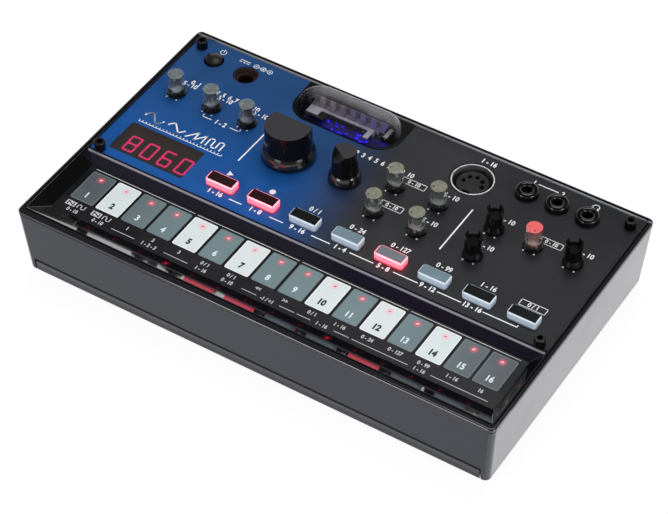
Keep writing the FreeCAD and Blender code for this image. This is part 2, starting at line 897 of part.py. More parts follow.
def display_window():
    """Smoky display window set flush in the panel."""
    return centred_slab(*display_at, display_width, display_depth, display_corner - fit_gap,
                        panel_top - lens_thickness, panel_top)


def display_module():
    """Four digit light display on the board, just under the window."""
    return centred_slab(*display_at, display_width - 2 * module_margin,
                        display_depth - 2 * module_margin, small_corner, board_top,
                        panel_top - lens_thickness - module_gap)


def tube_bezel():
    """Black surround of the tube window with the box that holds the tube."""
    plate = bezel_form(0.0, sheet_bottom, panel_top + bezel_proud)
    box = tray_form(0.0, panel_top - tray_depth, sheet_bottom)
    seat = panel_top - dome_seat
    upper = centred_slab(tube_x, tube_y, dome_length + 2 * fit_gap, dome_width + 2 * fit_gap,
                         small_corner, seat, sheet_bottom)
    lower = centred_slab(tube_x, tube_y, dome_length - 2 * tray_ledge, dome_width - 2 * tray_ledge,
                         small_corner, tray_top, seat)
    mouth = stadium(tube_x, tube_y, dome_length + 2 * fit_gap, dome_width + 2 * fit_gap, sheet_bottom,
                    panel_top + bezel_proud)
    return plate.fuse(box).cut([upper, lower, mouth])


def tube_window():
    """Clear domed window: a long rounded cap with a rolled top edge."""
    low = panel_top - dome_seat
    top = panel_top + dome_height
    outer = round_level(stadium(tube_x, tube_y, dome_length, dome_width, low, top), dome_round, top)
    inner = stadium(tube_x, tube_y, dome_length - 2 * dome_wall, dome_width - 2 * dome_wall, low,
                    top - dome_wall)
    inner = round_level(inner, dome_round - dome_wall, top - dome_wall)
    return outer.cut(inner)


def vacuum_tube():
    """Flat vacuum tube: glass base plate and the glass box sealed on it."""
    base = centred_slab(tube_x, glass_y, glass_length, glass_depth, small_corner, tray_top, glass_base)
    box = centred_slab(tube_x, glass_y, glass_length - 2 * glass_lip, glass_depth - 2 * glass_lip,
                       small_corner, glass_base, glass_base + glass_height)
    hollow = centred_slab(tube_x, glass_y, glass_length - 2 * (glass_lip + glass_wall),
                          glass_depth - 2 * (glass_lip + glass_wall), small_corner,
                          glass_base, glass_base + glass_height - glass_wall)
    return [base, box.cut(hollow)]


def tube_electrodes():
    """Metal parts in the tube: a frame bar with an end plate and a hook, a clip, and a row of leads."""
    half = glass_length / 2 - glass_lip - glass_wall - electrode_margin
    front = glass_y - glass_depth / 2 + glass_lip + glass_wall + electrode_lift
    back = glass_y + glass_depth / 2 - glass_lip - glass_wall - electrode_lift
    top = glass_base + glass_height - glass_wall - electrode_lift
    low = top - electrode_thickness
    bar_y = front + frame_share * (back - front)
    lead_y = bar_y + 2 * frame_bar
    left = tube_x - half
    right = tube_x + hook_share * half
    clip_x = tube_x + clip_share * half
    bar = block(left, right, bar_y, bar_y + frame_bar, low, top)
    end_plate = block(left, left + end_plate_length, front, bar_y, low, top)
    hook = block(right - hook_width, right, front, bar_y, low, top)
    feet = [block(x, x + electrode_thickness, bar_y, bar_y + frame_bar, glass_base, top)
            for x in (left, right - electrode_thickness)]
    clip = block(clip_x, clip_x + clip_length, bar_y, back, low, top)
    clip_foot = block(clip_x, clip_x + electrode_thickness, bar_y, back, glass_base, top)
    pitch = (clip_x - left) / lead_count
    leads = [block(left + i * pitch, left + i * pitch + lead_width, lead_y, back, glass_base,
                   glass_base + lead_height) for i in range(lead_count)]
    return [bar.fuse([end_plate, hook] + feet), clip.fuse(clip_foot)] + leads


def tube_lamps():
    """Lamps on the tray floor in front of the tube."""
    y = (tube_y - dome_width / 2 + tray_ledge + glass_y - glass_depth / 2) / 2
    pitch = glass_length / (lamp_count + 1)
    return [led(tube_x + (i - (lamp_count - 1) / 2) * pitch, y, tray_top) for i in range(lamp_count)]


def mini_jack(x, y):
    """Small audio socket: body on the board, neck through the panel and a round collar."""
    collar_top = panel_top + jack_collar_height
    bore_top = collar_top - jack_mouth_depth
    outside = vec(x + jack_collar_radius, y, panel_top + jack_collar_side)
    crest = vec(x + (jack_collar_radius + jack_bore) / 2, y, collar_top)
    inside = vec(x + jack_bore, y, bore_top)
    collar = turned_edges(x, y, [
        Part.makeLine(vec(x, y, panel_top), vec(x + jack_collar_radius, y, panel_top)),
        Part.makeLine(vec(x + jack_collar_radius, y, panel_top), outside),
        Part.Arc(outside, crest, inside).toShape(),
        Part.makeLine(inside, vec(x, y, bore_top)),
        Part.makeLine(vec(x, y, bore_top), vec(x, y, panel_top)),
    ])
    neck = disc(x, y, jack_neck_radius, socket_top - neck_overlap, panel_top)
    body = centred_slab(x, y, jack_body_width, jack_body_depth, socket_corner, board_top, socket_top)
    jack = collar.fuse([neck, body])
    mouth = disc(x, y, jack_bore, bore_top - jack_bore_length, bore_top)
    well = disc(x, y, jack_inner_bore, board_top + jack_floor, bore_top - jack_bore_length)
    return jack.cut([mouth, well])


def midi_socket_shell():
    """Bright round shield of the five pin socket, thinner below its mouth."""
    x, y = midi_at
    top = panel_top + fit_gap
    low = board_top + midi_floor
    step = top - midi_insert_drop + fit_gap
    tube = disc(x, y, midi_ring_outer, low, top)
    return tube.cut([disc(x, y, midi_ring_inner, step, top),
                     disc(x, y, midi_ring_inner + midi_ring_relief, low, step)])


def midi_socket_insert():
    """Black socket moulding: housing, centre insert, pin holes and the key slot."""
    x, y = midi_at
    floor = board_top + midi_floor
    face = panel_top - midi_insert_drop
    housing = disc(x, y, midi_housing_radius, board_top, panel_top - fit_gap)
    well = disc(x, y, midi_ring_outer, floor, panel_top)
    insert = disc(x, y, midi_insert_radius, floor, face)
    socket = housing.cut(well).fuse(insert)
    cuts = []
    for i in range(midi_pins):
        angle = math.pi * i / (midi_pins - 1)
        px = x + midi_pin_circle * math.cos(angle)
        py = y + midi_pin_circle * math.sin(angle)
        cuts.append(disc(px, py, midi_pin_radius, face - midi_pin_depth, face))
        cuts.append(Part.makeCone(midi_pin_radius, midi_pin_radius + midi_pin_lead, midi_pin_lead,
                                  vec(px, py, face - midi_pin_lead)))
    key_y = y - midi_insert_radius
    cuts.append(block(x - midi_key_width / 2, x + midi_key_width / 2, key_y - fit_gap, key_y + midi_key_depth,
                      face - midi_key_length, face))
    return socket.cut(cuts)


def dc_socket():
    """Power socket: body on the board, round neck with a wide mouth over the bore, and the pin."""
    x, y = dc_at
    top = panel_top - dc_drop
    ledge = top - dc_mouth_depth
    step = ledge - dc_bore_length
    body = centred_slab(x, y, dc_body_width, dc_body_depth, socket_corner, board_top, socket_top)
    neck = disc(x, y, dc_neck_radius, socket_top - neck_overlap, top)
    well = disc(x, y, dc_inner_bore, board_top + dc_floor, step)
    mouth = disc(x, y, dc_mouth_radius, ledge, top)
    housing = body.fuse(neck).cut([mouth, disc(x, y, dc_bore, step, ledge), well])
    tip = step - fit_gap
    pin = round_level(disc(x, y, dc_pin_radius, board_top + dc_floor, tip), dc_pin_round, tip)
    return [housing, pin]


def panel_screws():
    """Black socket head screws that hold the panel and cover down."""
    screws = []
    for x, y in panel_screws_at:
        top = panel_top + screw_head_height
        head = round_level(disc(x, y, screw_head_radius, panel_top, top), screw_head_edge, top)
        shank = disc(x, y, screw_radius, deck_bottom - screw_length + fit_gap, panel_top)
        corners = [vec(x + hex_key_width / math.sqrt(3) * math.cos(math.radians(60 * i)),
                       y + hex_key_width / math.sqrt(3) * math.sin(math.radians(60 * i)), top - hex_key_depth)
                   for i in range(6)]
        socket = Part.Face(Part.makePolygon(corners + corners[:1])).extrude(vec(0, 0, hex_key_depth))
        screws.append(head.fuse(shank).cut(socket))
    return screws


def case_screws():
    """Cross slotted screws driven from below into the posts of the cover."""
    screws = []
    arms = (screw_slot_length / 2, screw_slot_width / 2)
    for x, y in case_screws_at:
        head = disc(x, y, case_screw_head_radius, screw_seat - case_screw_head_height, screw_seat)
        shank = disc(x, y, screw_radius, screw_seat, screw_seat + case_screw_length - fit_gap)
        screw = head.fuse(shank)
        for width, depth in (arms, arms[::-1]):
            screw = screw.cut(block(x - width, x + width, y - depth, y + depth,
                                    screw_seat - case_screw_head_height,
                                    screw_seat - case_screw_head_height / 2))
        screws.append(screw)
    return screws


def cell(x_low, y, flip):
    """Round cell lying along X, its nub towards +X unless flipped."""
    can = Part.makeCylinder(cell_radius, cell_length, vec(0, 0, 0), vec(1, 0, 0))
    nub = Part.makeCylinder(cell_nub_radius, cell_nub_length, vec(cell_length, 0, 0), vec(1, 0, 0))
    body = can.fuse(nub)
    if flip:
        body.rotate(vec(0, 0), vec(0, 0, 1), 180)
        body.translate(vec(cell_length + cell_nub_length, 0, 0))
    body.translate(vec(x_low, y, cell_axis_z))
    return body


def batteries():
    cells = []
    for index, y in enumerate(cell_rows):
        for i in range(cells_per_row):
            cells.append(cell(-cell_run / 2 + i * (cell_length + cell_nub_length), y, index == 1))
    return cells


def battery_contacts():
    """Contact plate at each end of both rows, with a coned spring or a raised dimple."""
    plates = []
    for y in cell_rows:
        for side in (-1, 1):
            plate = block(0, contact_thickness, y - contact_size / 2, y + contact_size / 2,
                          cell_axis_z - contact_size / 2, cell_axis_z + contact_size / 2)
            cone = Part.makeCone(spring_base, spring_tip, contact_spring, vec(0, y, cell_axis_z),
                                 vec(-1, 0, 0))
            contact = plate.fuse(cone)
            contact.translate(vec(bay_half - contact_thickness, 0, 0))
            if side < 0:
                contact = contact.mirror(vec(0, 0), vec(1, 0, 0))
            plates.append(contact)
    return plates


def speaker():
    """Small loudspeaker face down over the grille: frame, cone hollow and magnet."""
    x, y = speaker_at
    low = floor_top
    top = low + speaker_height
    return turned(x, y, [(speaker_radius - speaker_rim, low), (speaker_radius, low),
                         (speaker_radius, low + speaker_flange),
                         (speaker_radius - speaker_rim, low + speaker_flange),
                         (magnet_radius, top - magnet_height), (magnet_radius, top), (0, top),
                         (0, low + cone_depth), (coil_radius, low + cone_depth)])


def foot(x, y):
    """Round rubber foot."""
    return bevel_level(disc(x, y, foot_radius, 0.0, foot_height), foot_edge, 0.0)


def feet(side_of_y):
    x = half_width(case_bottom) - foot_inset
    y = side_of_y * (half_depth(case_bottom) - foot_inset)
    return [foot(-x, y), foot(x, y)]


def save(name, shape):
    """Write one node; a list becomes a group of separate solids."""
    if isinstance(shape, list):
        shape = Part.makeCompound(shape)
    shape.exportStep("parts/%s.step" % name)


def main():
    os.makedirs("parts", exist_ok=True)
    save("bottom_case", bottom_case())
    save("top_cover", top_cover())
    save("face_panel", face_panel())
    save("keyboard_plate", keyboard_plate())
    save("keys_white", keys(white_keys))
    save("keys_grey", keys(grey_keys))
    save("keyboard_board", keyboard_board())
    save("indicator_leds", step_leds() + button_leds())
    save("main_board", main_board())
    save("button_switches", button_switches())
    save("pot_bodies", pot_bodies())
    save("tube_bezel", tube_bezel())
    save("tube_window", tube_window())
    save("vacuum_tube", vacuum_tube())
    save("tube_electrodes", tube_electrodes())
    save("tube_lamps", tube_lamps())
    save("display_window", display_window())
    save("display_module", display_module())
    save("dc_socket", dc_socket())
    save("midi_socket_shell", midi_socket_shell())
    save("midi_socket_insert", midi_socket_insert())
    save("mini_jacks", [mini_jack(x, y) for x, y in jacks])
    save("panel_screws", panel_screws())
    save("case_screws", case_screws())
    save("speaker", speaker())
    save("batteries", batteries())
    save("battery_contacts", battery_contacts())
    save("battery_door", battery_door())
    save("rear_feet", feet(1))
    save("door_feet", feet(-1))
    for name, x, y, angle in small_knobs:
        save("knob_" + name, small_cap(x, y, angle))
        save("spindle_" + name, spindle(x, y))
    for name, x, y, angle in crown_knobs:
        save("knob_" + name, crown_knob(x, y, angle))
    save("knob_cutoff", pointer_knob(cutoff_at, big_radius, big_body_radius, big_skirt_radius, big_height,
                                     big_facet, cutoff_angle))
    save("knob_peak", pointer_knob(peak_at, peak_radius, peak_body_radius, peak_skirt_radius, peak_height,
                                   peak_facet, peak_angle))
    for name, x, y in buttons:
        save(name, button_cap(x, y))
    save("power_button", power_button())


main()
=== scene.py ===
"""Dresses the desktop synthesizer: finishes, printed marks, lit display, studio and camera."""
import logging
import math
from dataclasses import dataclass, field
from enum import Enum

import bmesh
import bpy
from mathutils import Matrix, Vector


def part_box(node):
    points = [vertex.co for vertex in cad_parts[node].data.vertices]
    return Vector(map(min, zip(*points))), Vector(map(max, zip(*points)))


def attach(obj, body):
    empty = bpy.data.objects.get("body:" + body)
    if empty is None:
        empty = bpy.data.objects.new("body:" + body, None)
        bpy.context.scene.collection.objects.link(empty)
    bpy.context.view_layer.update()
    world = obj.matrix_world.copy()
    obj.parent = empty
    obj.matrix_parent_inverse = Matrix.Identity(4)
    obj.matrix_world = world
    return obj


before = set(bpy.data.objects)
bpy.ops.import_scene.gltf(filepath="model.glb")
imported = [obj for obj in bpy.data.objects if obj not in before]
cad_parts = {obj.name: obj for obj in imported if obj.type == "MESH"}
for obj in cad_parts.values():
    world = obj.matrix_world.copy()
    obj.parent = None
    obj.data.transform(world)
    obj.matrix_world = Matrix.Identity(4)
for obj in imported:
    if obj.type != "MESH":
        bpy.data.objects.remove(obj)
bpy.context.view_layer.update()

MM = 0.001
BASE = "base"
NOISE_SPAN = (0.3, 0.7)
log = logging.getLogger("synthesizer")

Colour = tuple[float, float, float]
Place = tuple[float, float]
Socket = bpy.types.NodeSocket


class Gloss(Enum):
    """How rough a moulded surface is."""

    MIRROR = 0.05
    POLISHED = 0.10
    GLOSSY = 0.18
    SATIN = 0.36
    MATTE = 0.62


def linear(*steps: int) -> Colour:
    """Scene colour of a display colour given in 0 to 255 steps.

    Args:
        steps: Red, green and blue step.

    Returns:
        The three linear values.
    """
    parts = [step / 255 for step in steps]
    return tuple(part / 12.92 if part <= 0.04045 else ((part + 0.055) / 1.055) ** 2.4 for part in parts)


@dataclass(frozen=True)
class Signal:
    """A number or colour that changes over a surface; its arithmetic adds nodes to the material.

    Attributes:
        graph: Nodes that it belongs to.
        socket: Node output that gives it.
    """

    graph: "Graph"
    socket: Socket

    def __add__(self, other: object) -> "Signal":
        """Returns the sum."""
        return self.graph.math("ADD", self, other)

    def __sub__(self, other: object) -> "Signal":
        """Returns the difference."""
        return self.graph.math("SUBTRACT", self, other)

    def __mul__(self, other: object) -> "Signal":
        """Returns the product."""
        return self.graph.math("MULTIPLY", self, other)

    def __truediv__(self, other: object) -> "Signal":
        """Returns the quotient."""
        return self.graph.math("DIVIDE", self, other)

    def __or__(self, other: object) -> "Signal":
        """Returns the larger of the two."""
        return self.graph.math("MAXIMUM", self, other)

    def __abs__(self) -> "Signal":
        """Returns the size without its sign."""
        return self.graph.math("ABSOLUTE", self)

    def rest(self) -> "Signal":
        """Returns what is left to 1."""
        return self.graph.math("SUBTRACT", 1.0, self)

    def ramp(self, low: float, high: float, start: float = 0.0, end: float = 1.0) -> "Signal":
        """Maps it smoothly from one span to another.

        Args:
            low: Value that gives start.
            high: Value that gives end.
            start: Result at low.
            end: Result at high.

        Returns:
            The mapped value.
        """
        fed = {"Value": self, "From Min": low, "From Max": high, "To Min": start, "To Max": end}
        made = self.graph.node("MapRange", fed, interpolation_type="SMOOTHSTEP")
        return Signal(self.graph, made.outputs[0])

    def rise(self, level: float, low: float, high: float) -> "Signal":
        """Returns 0 up to a level plus low millimetres, and 1 from the level plus high millimetres on."""
        return self.ramp(level + low * MM, level + high * MM)

    def fall(self, level: float, low: float, high: float) -> "Signal":
        """Returns 1 up to a level plus low millimetres, and 0 from the level plus high millimetres on."""
        return self.ramp(level + low * MM, level + high * MM, 1.0, 0.0)

    def band(self, level: float, low: float, full: float, end: float, high: float) -> "Signal":
        """Returns 1 from full to end and 0 outside low and high, all millimetres from a level."""
        return self.rise(level, low, full) * self.fall(level, end, high)


class Graph:
    """The nodes of a material or a world, built by short calls.

    Attributes:
        owner: The material or the world.
        tree: Its nodes and links.
        output: Its output node.
        place: Place of the surface point in metres, or the direction in a world.
        x: First coordinate of the place.
        y: Second coordinate of the place.
        z: Third coordinate of the place.
    """

    def __init__(self, name: str, world: bool = False) -> None:
        """Starts empty.

        Args:
            name: Name of the material or world.
            world: Whether it is a world.
        """
        self.owner = (bpy.data.worlds if world else bpy.data.materials).new(name)
        self.owner.use_nodes = True
        self.tree = self.owner.node_tree
        self.tree.nodes.clear()
        self.output = self.node("OutputWorld" if world else "OutputMaterial")
        self.place = self.node("TexCoord").outputs["Generated" if world else "Object"]
        split = self.node("SeparateXYZ", {"Vector": self.place})
        self.x, self.y, self.z = (Signal(self, socket) for socket in split.outputs)

    def node(self, kind: str, fed: dict[str, object] | None = None, **settings: object) -> bpy.types.Node:
        """Adds a node.

        Args:
            kind: Blender's name of the node type, without its first word.
            fed: What its inputs are fed, by their names.
            settings: Properties to set on it.

        Returns:
            The node.
        """
        made = self.tree.nodes.new("ShaderNode" + kind)
        for key, value in settings.items():
            setattr(made, key, value)
        for key, value in (fed or {}).items():
            self.put(made.inputs[key], value)
        return made

    def put(self, socket: Socket, value: object) -> None:
        """Sets an input to a value, or links an output to it.

        Args:
            socket: The input.
            value: A number, a colour, a signal or an output.
        """
        value = value.socket if isinstance(value, Signal) else value
        if isinstance(value, Socket):
            self.tree.links.new(value, socket)
        elif isinstance(value, tuple) and len(value) < len(socket.default_value):
            socket.default_value = (*value, 1.0)
        else:
            socket.default_value = value

    def math(self, operation: str, *values: object) -> Signal:
        """Adds a math node.

        Args:
            operation: Blender's name of the operation.
            values: Numbers, signals or outputs that it works on.

        Returns:
            The result.
        """
        made = self.node("Math", operation=operation)
        for socket, value in zip(made.inputs, values):
            self.put(socket, value)
        return Signal(self, made.outputs[0])

    def blend(self, factor: object, first: object, second: object, mode: str = "MIX",
              kind: str = "RGBA") -> Signal:
        """Mixes two colours or numbers.

        Args:
            factor: Share of the second.
            first: The first.
            second: The second.
            mode: Blender's name of the way they mix.
            kind: Blender's name of what is mixed.

        Returns:
            The mix.
        """
        fed = {"Factor": factor, "A": first, "B": second}
        return Signal(self, self.node("Mix", fed, data_type=kind, blend_type=mode).outputs["Result"])

    def facing(self) -> Signal:
        """Returns 0 where the surface faces the eye and 1 where it is seen edge on."""
        return Signal(self, self.node("LayerWeight", {"Blend": 0.5}).outputs["Facing"])

    def noise(self, size: float, detail: float = 2.0, stretch: Colour | None = None) -> Signal:
        """Adds a noise pattern on the surface.

        Args:
            size: Size of its features in metres.
            detail: Octaves of finer detail.
            stretch: Factors that squeeze the pattern along X, Y and Z.

        Returns:
            Values about 0.5.
        """
        place = self.place
        if stretch:
            place = self.node("Mapping", {"Vector": place, "Scale": stretch}).outputs[0]
        fed = {"Vector": place, "Scale": 1 / size, "Detail": detail}
        return Signal(self, self.node("TexNoise", fed).outputs["Fac"])

    def wander(self, size: float, detail: float, low: float, high: float) -> Signal:
        """Gives a number that wanders over the surface.

        Args:
            size: Size of its patches in metres.
            detail: Octaves of finer detail.
            low: Lowest value.
            high: Highest value.

        Returns:
            The number.
        """
        return self.noise(size, detail).ramp(*NOISE_SPAN, low, high)

    def bump(self, height: Signal, strength: float, depth: float) -> Socket:
        """Turns a height pattern into a surface normal.

        Args:
            height: The pattern.
            strength: Share of the effect.
            depth: Depth in metres.

        Returns:
            The normal.
        """
        return self.node("Bump", {"Strength": strength, "Distance": depth, "Height": height}).outputs[0]

    def grain(self, size: float, strength: float, depth: float, detail: float = 1.0) -> Socket:
        """Gives the surface a fine grain.

        Args:
            size: Size of the grain in metres.
            strength: Share of the effect.
            depth: Depth in metres.
            detail: Octaves of finer detail.

        Returns:
            The normal.
        """
        return self.bump(self.noise(size, detail), strength, depth)

    def lamp_cell(self, pitch: float, lamp_y: float) -> tuple[Signal, Signal]:
        """Measures from the nearest lamp of a row centred on X = 0.

        Args:
            pitch: Spacing of the lamps in metres.
            lamp_y: Y of the row in metres.

        Returns:
            The offsets in X and Y.
        """
        cell = self.math("FRACT", self.x / pitch)
        return (cell - 0.5) * pitch, self.y - lamp_y

    def spot(self, across: Signal, along: Signal, half: Place, soft: float) -> Signal:
        """Marks an oval.

        Args:
            across: Offset along its first half size.
            along: Offset along its second half size.
            half: Half sizes in metres.
            soft: Share of the half sizes over which it fades.

        Returns:
            1 inside, fading to 0 outside.
        """
        first, second = across / half[0], along / half[1]
        away = self.math("SQRT", first * first + second * second)
        return away.ramp(1.0 - soft, 1.0 + soft, 1.0, 0.0)

    def close(self, shader: bpy.types.Node) -> bpy.types.Material | bpy.types.World:
        """Links the last shader to the output.

        Args:
            shader: The shader node.

        Returns:
            The material or world.
        """
        self.put(self.output.inputs["Surface"], shader.outputs[0])
        return self.owner

    def shade(self, **inputs: object) -> bpy.types.Material:
        """Adds the surface shader and ends the material.

        Args:
            inputs: Shader inputs, with spaces written as underscores.

        Returns:
            The material.
        """
        fed = {name.replace("_", " "): value for name, value in inputs.items()}
        return self.close(self.node("BsdfPrincipled", fed))


@dataclass(frozen=True)
class KeyRow:
    """Places of the touch keys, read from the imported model.

    Attributes:
        count: Number of keys.
        white: Numbers of the white keys.
        lamp_inset: Distance from the keys' back edge to their lamps in millimetres.
    """

    count: int = 16
    white: tuple[int, ...] = (2, 5, 7, 10, 12, 14)
    lamp_inset: float = 2.8

    def span(self, node: str) -> float:
        """Returns the length of a node along X in metres."""
        low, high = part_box(node)
        return high[0] - low[0]

    def pitch(self) -> float:
        """Returns the keys' spacing in metres: the two rows end different numbers of keys apart."""
        steps = (self.count - 1) - (self.white[-1] - self.white[0])
        return (self.span("keys_grey") - self.span("keys_white")) / steps

    def width(self) -> float:
        """Returns the width of a key in metres."""
        return self.span("keys_grey") - (self.count - 1) * self.pitch()

    def centre(self, number: float) -> float:
        """Returns the X of a key's middle in millimetres."""
        return (number - (self.count + 1) / 2) * self.pitch() / MM

    def front(self) -> float:
        """Returns the Y of the keys' front edge in metres."""
        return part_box("keys_grey")[0][1]

    def back(self) -> float:
        """Returns the Y of the keys' back edge in metres."""
        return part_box("keys_grey")[1][1]

    def lamp_y(self) -> float:
        """Returns the Y of the keys' lamps in metres."""
        return self.back() - self.lamp_inset * MM


@dataclass(frozen=True)
class Finish:
    """What a surface is made of.

    Attributes:
        name: Name of the material.
    """

    name: str

    def material(self) -> bpy.types.Material:
        """Returns the finished material."""
        raise NotImplementedError


@dataclass(frozen=True)
class MouldedPlastic(Finish):
    """Moulded plastic with a fine grain, faint handling marks and uneven gloss.

    Attributes:
        colour: Base colour.
        gloss: Surface roughness.
        grain: Depth of the mould's grain in metres.
        grain_size: Size of the grain in metres.
        specular: Specular level of the shader.
        smudge: How far handling changes the gloss.
    """

    colour: Colour
    gloss: Gloss = Gloss.GLOSSY
    grain: float = 0.000004
    grain_size: float = 0.00035
    specular: float = 0.5
    smudge: float = 0.06

    def material(self) -> bpy.types.Material:
        """Builds its nodes.

        Returns:
            The finished material.
        """
        graph = Graph(self.name)
        lifted = tuple(min(1.0, part * 1.18 + 0.0015) for part in self.colour)
        rough = self.gloss.value
        return graph.shade(
            Base_Color=graph.blend(graph.noise(0.006).ramp(0.35, 0.75), self.colour, lifted),
            Roughness=graph.wander(0.018, 3.0, rough - self.smudge / 2, rough + self.smudge),
            Specular_IOR_Level=self.specular,
            Normal=graph.grain(self.grain_size, 0.5, self.grain),
        )


@dataclass(frozen=True)
class ShellFinish(Finish):
    """Glossy case plastic: matte, with painted shade along the door's seam and a painted highlight on the
    lip's edge under it.

    Attributes:
        seam: Level of the door lip's top in metres.
        half: Half the length of the lip in metres.
        front: Y in front of which the seam is marked, in metres.
        colour: Colour of the plastic.
        worn: Colour of the painted highlight on the lip's edge under the seam.
    """

    seam: float
    half: float
    front: float
    colour: Colour = (0.0036, 0.0052, 0.0180)
    worn: Colour = linear(66, 66, 72)

    def material(self) -> bpy.types.Material:
        """Builds its nodes.

        Returns:
            The finished material.
        """
        graph = Graph(self.name)
        inside = abs(graph.x).fall(self.half, 0.0, 0.4) * graph.y.fall(self.front, 0.0, 0.5)
        # painted shade in the seam and just above it, also made matte
        dark = graph.z.band(self.seam, -0.3, -0.1, 0.9, 1.2) * inside
        # painted highlight on the lip's rounded edge just under the seam
        edge = graph.z.band(self.seam, -3.0, -0.8, -0.6, -0.3) * inside
        rough = Gloss.GLOSSY.value
        return graph.shade(
            Base_Color=graph.blend(dark, graph.blend(edge, self.colour, self.worn), (0.0, 0.0, 0.0)),
            Roughness=graph.wander(0.018, 3.0, rough - 0.015, rough + 0.03) + dark * 0.6,
            Specular_IOR_Level=0.42,
            Normal=graph.grain(0.0006, 0.5, 0.000002),
        )


@dataclass(frozen=True)
class CoverFinish(Finish):
    """Glossy black cover: satin rim on top, painted highlights on the bevel and on the low wall behind the
    panel sheet, a painted sheen on the back slope, and a dim red painted reflection of each key lamp on
    the front slope.

    Attributes:
        rim_level: Level of the rim's top in metres.
        pitch: Spacing of the gleams in metres.
        lamp_y: Y of the row of gleams in metres.
        row_half: Half the length of the row in metres.
        bright: X of the gleams that shine most, in metres.
        panel_front: Y of the panel sheet's front edge in metres.
        panel_level: Level of the panel sheet's top in metres.
        panel_back: Y of the panel sheet's back edge in metres.
        black: Colour of the slopes.
        rim: Colour of the rim's top.
        back_slope: Colour of the painted sheen on the back slope.
        lip: Colour of the painted highlight on the bevel between the deck and the back slope.
        wall: Colour of the painted highlight on the low wall behind the panel sheet.
        lamp: Colour of the gleams.
        slope_back: Y behind which the front slope's thicker gloss ends, in metres.
    """

    rim_level: float
    pitch: float
    lamp_y: float
    row_half: float
    bright: tuple[float, ...]
    panel_front: float
    panel_level: float
    panel_back: float
    black: Colour = (0.0032, 0.0032, 0.0035)
    rim: Colour = linear(33, 33, 37)
    back_slope: Colour = linear(25, 22, 34)
    lip: Colour = linear(142, 140, 150)
    wall: Colour = linear(128, 129, 134)
    lamp: Colour = (0.75, 0.01, 0.05)
    slope_back: float = -0.0455

    def gleams(self, graph: Graph) -> Signal:
        """Draws the lamps' gleams.

        Args:
            graph: The material that they are for.

        Returns:
            Strength of their light.
        """
        across, along = graph.lamp_cell(self.pitch, self.lamp_y)
        power = 0.07
        for place in self.bright:
            power = abs(graph.x - place).ramp(self.pitch * 0.4, self.pitch * 0.6, 0.7, 0.0) + power
        halo = graph.spot(across, along, (0.0010, 0.0012), 0.9) * 0.25
        dot = graph.spot(across, along, (0.00040, 0.00050), 0.5) + halo
        return dot * abs(graph.x).fall(self.row_half, -0.4, 0.0) * power

    def material(self) -> bpy.types.Material:
        """Builds its nodes.

        Returns:
            The finished material.
        """
        graph = Graph(self.name)
        on_rim = graph.z.rise(self.rim_level, -0.16, -0.05)
        sunk = graph.z.fall(self.panel_level, 0.03, 0.08)
        # painted sheen: the back slope is lighter than the black of the other slopes
        on_back_sheen = graph.y.rise(self.panel_front, -4.5, -4.0) * sunk
        # painted highlight on the bevel at the top of the back slope
        on_lip_highlight = graph.y.band(self.panel_front, -1.5, -1.3, -0.9, -0.6) * sunk
        # painted highlight line on the low wall behind the panel sheet
        on_wall = graph.y.band(self.panel_back, -0.2, 0.0, 0.5, 0.7)
        on_slope = graph.y.fall(self.slope_back, -0.5, 0.0)
        colour = graph.blend(on_back_sheen, self.black, self.back_slope)
        for share, part in ((on_lip_highlight, self.lip), (on_rim, self.rim), (on_wall, self.wall)):
            colour = graph.blend(share, colour, part)
        rough = Gloss.MIRROR.value
        return graph.shade(
            Base_Color=colour,
            Roughness=graph.wander(0.018, 3.0, rough - 0.01, rough + 0.02) + on_rim * 0.04,
            Specular_IOR_Level=0.42,
            Coat_Weight=on_slope * on_rim.rest() * 0.55,
            Coat_Roughness=0.04,
            Coat_IOR=1.6,
            Emission_Color=self.lamp,
            # painted reflection of the key lamps on the front slope, as emission
            Emission_Strength=self.gleams(graph) * on_rim.rest(),
            Normal=graph.grain(0.0004, 0.15, 0.000001),
        )


@dataclass(frozen=True)
class PanelPrint(Finish):
    """Printed metallic sheet: blue at the left, fading to near black at the right, with painted reflection
    that dulls the blue towards the back and lightens the dark tone next to the fade.

    Attributes:
        fade: X between which blue fades to dark, in metres.
        slant: How far the fade leans with depth.
        blue_depth: Y between which the blue dulls by painted reflection haze, in metres.
        dark_width: X between which the painted reflection on the dark tone fades out, in metres.
        back_blue: Blue at the back edge, dulled by painted reflection haze.
        front_blue: Blue at the front edge.
        dark_left: Dark tone next to the fade, lightened by painted reflection.
        dark_right: Dark tone at the right edge.
        flake: Colour of the metal flakes.
    """

    fade: Place = (-0.0285, 0.0095)
    slant: float = 0.1
    blue_depth: Place = (-0.016, 0.05)
    dark_width: Place = (0.01, 0.09)
    back_blue: Colour = linear(28, 74, 128)
    front_blue: Colour = linear(8, 84, 160)
    dark_left: Colour = linear(47, 47, 50)
    dark_right: Colour = linear(36, 36, 38)
    flake: Colour = (0.45, 0.52, 0.62)

    def material(self) -> bpy.types.Material:
        """Builds its nodes.

        Returns:
            The finished material.
        """
        graph = Graph(self.name)
        # painted reflection haze: the blue is duller towards the back
        blue = graph.blend(graph.y.ramp(*self.blue_depth), self.front_blue, self.back_blue)
        # painted reflection: the dark tone is lighter next to the fade
        dark = graph.blend(graph.x.ramp(*self.dark_width), self.dark_left, self.dark_right)
        colour = graph.blend((graph.y * self.slant + graph.x).ramp(*self.fade), blue, dark)
        flakes = graph.noise(0.00018, 1.0)
        return graph.shade(
            Base_Color=graph.blend(flakes.ramp(0.45, 0.8, 0.0, 0.03), colour, self.flake),
            Metallic=0.12,
            Roughness=graph.wander(0.03, 2.0, 0.30, 0.40),
            Specular_IOR_Level=0.22,
            Normal=graph.bump(flakes, 0.10, 0.000006),
        )


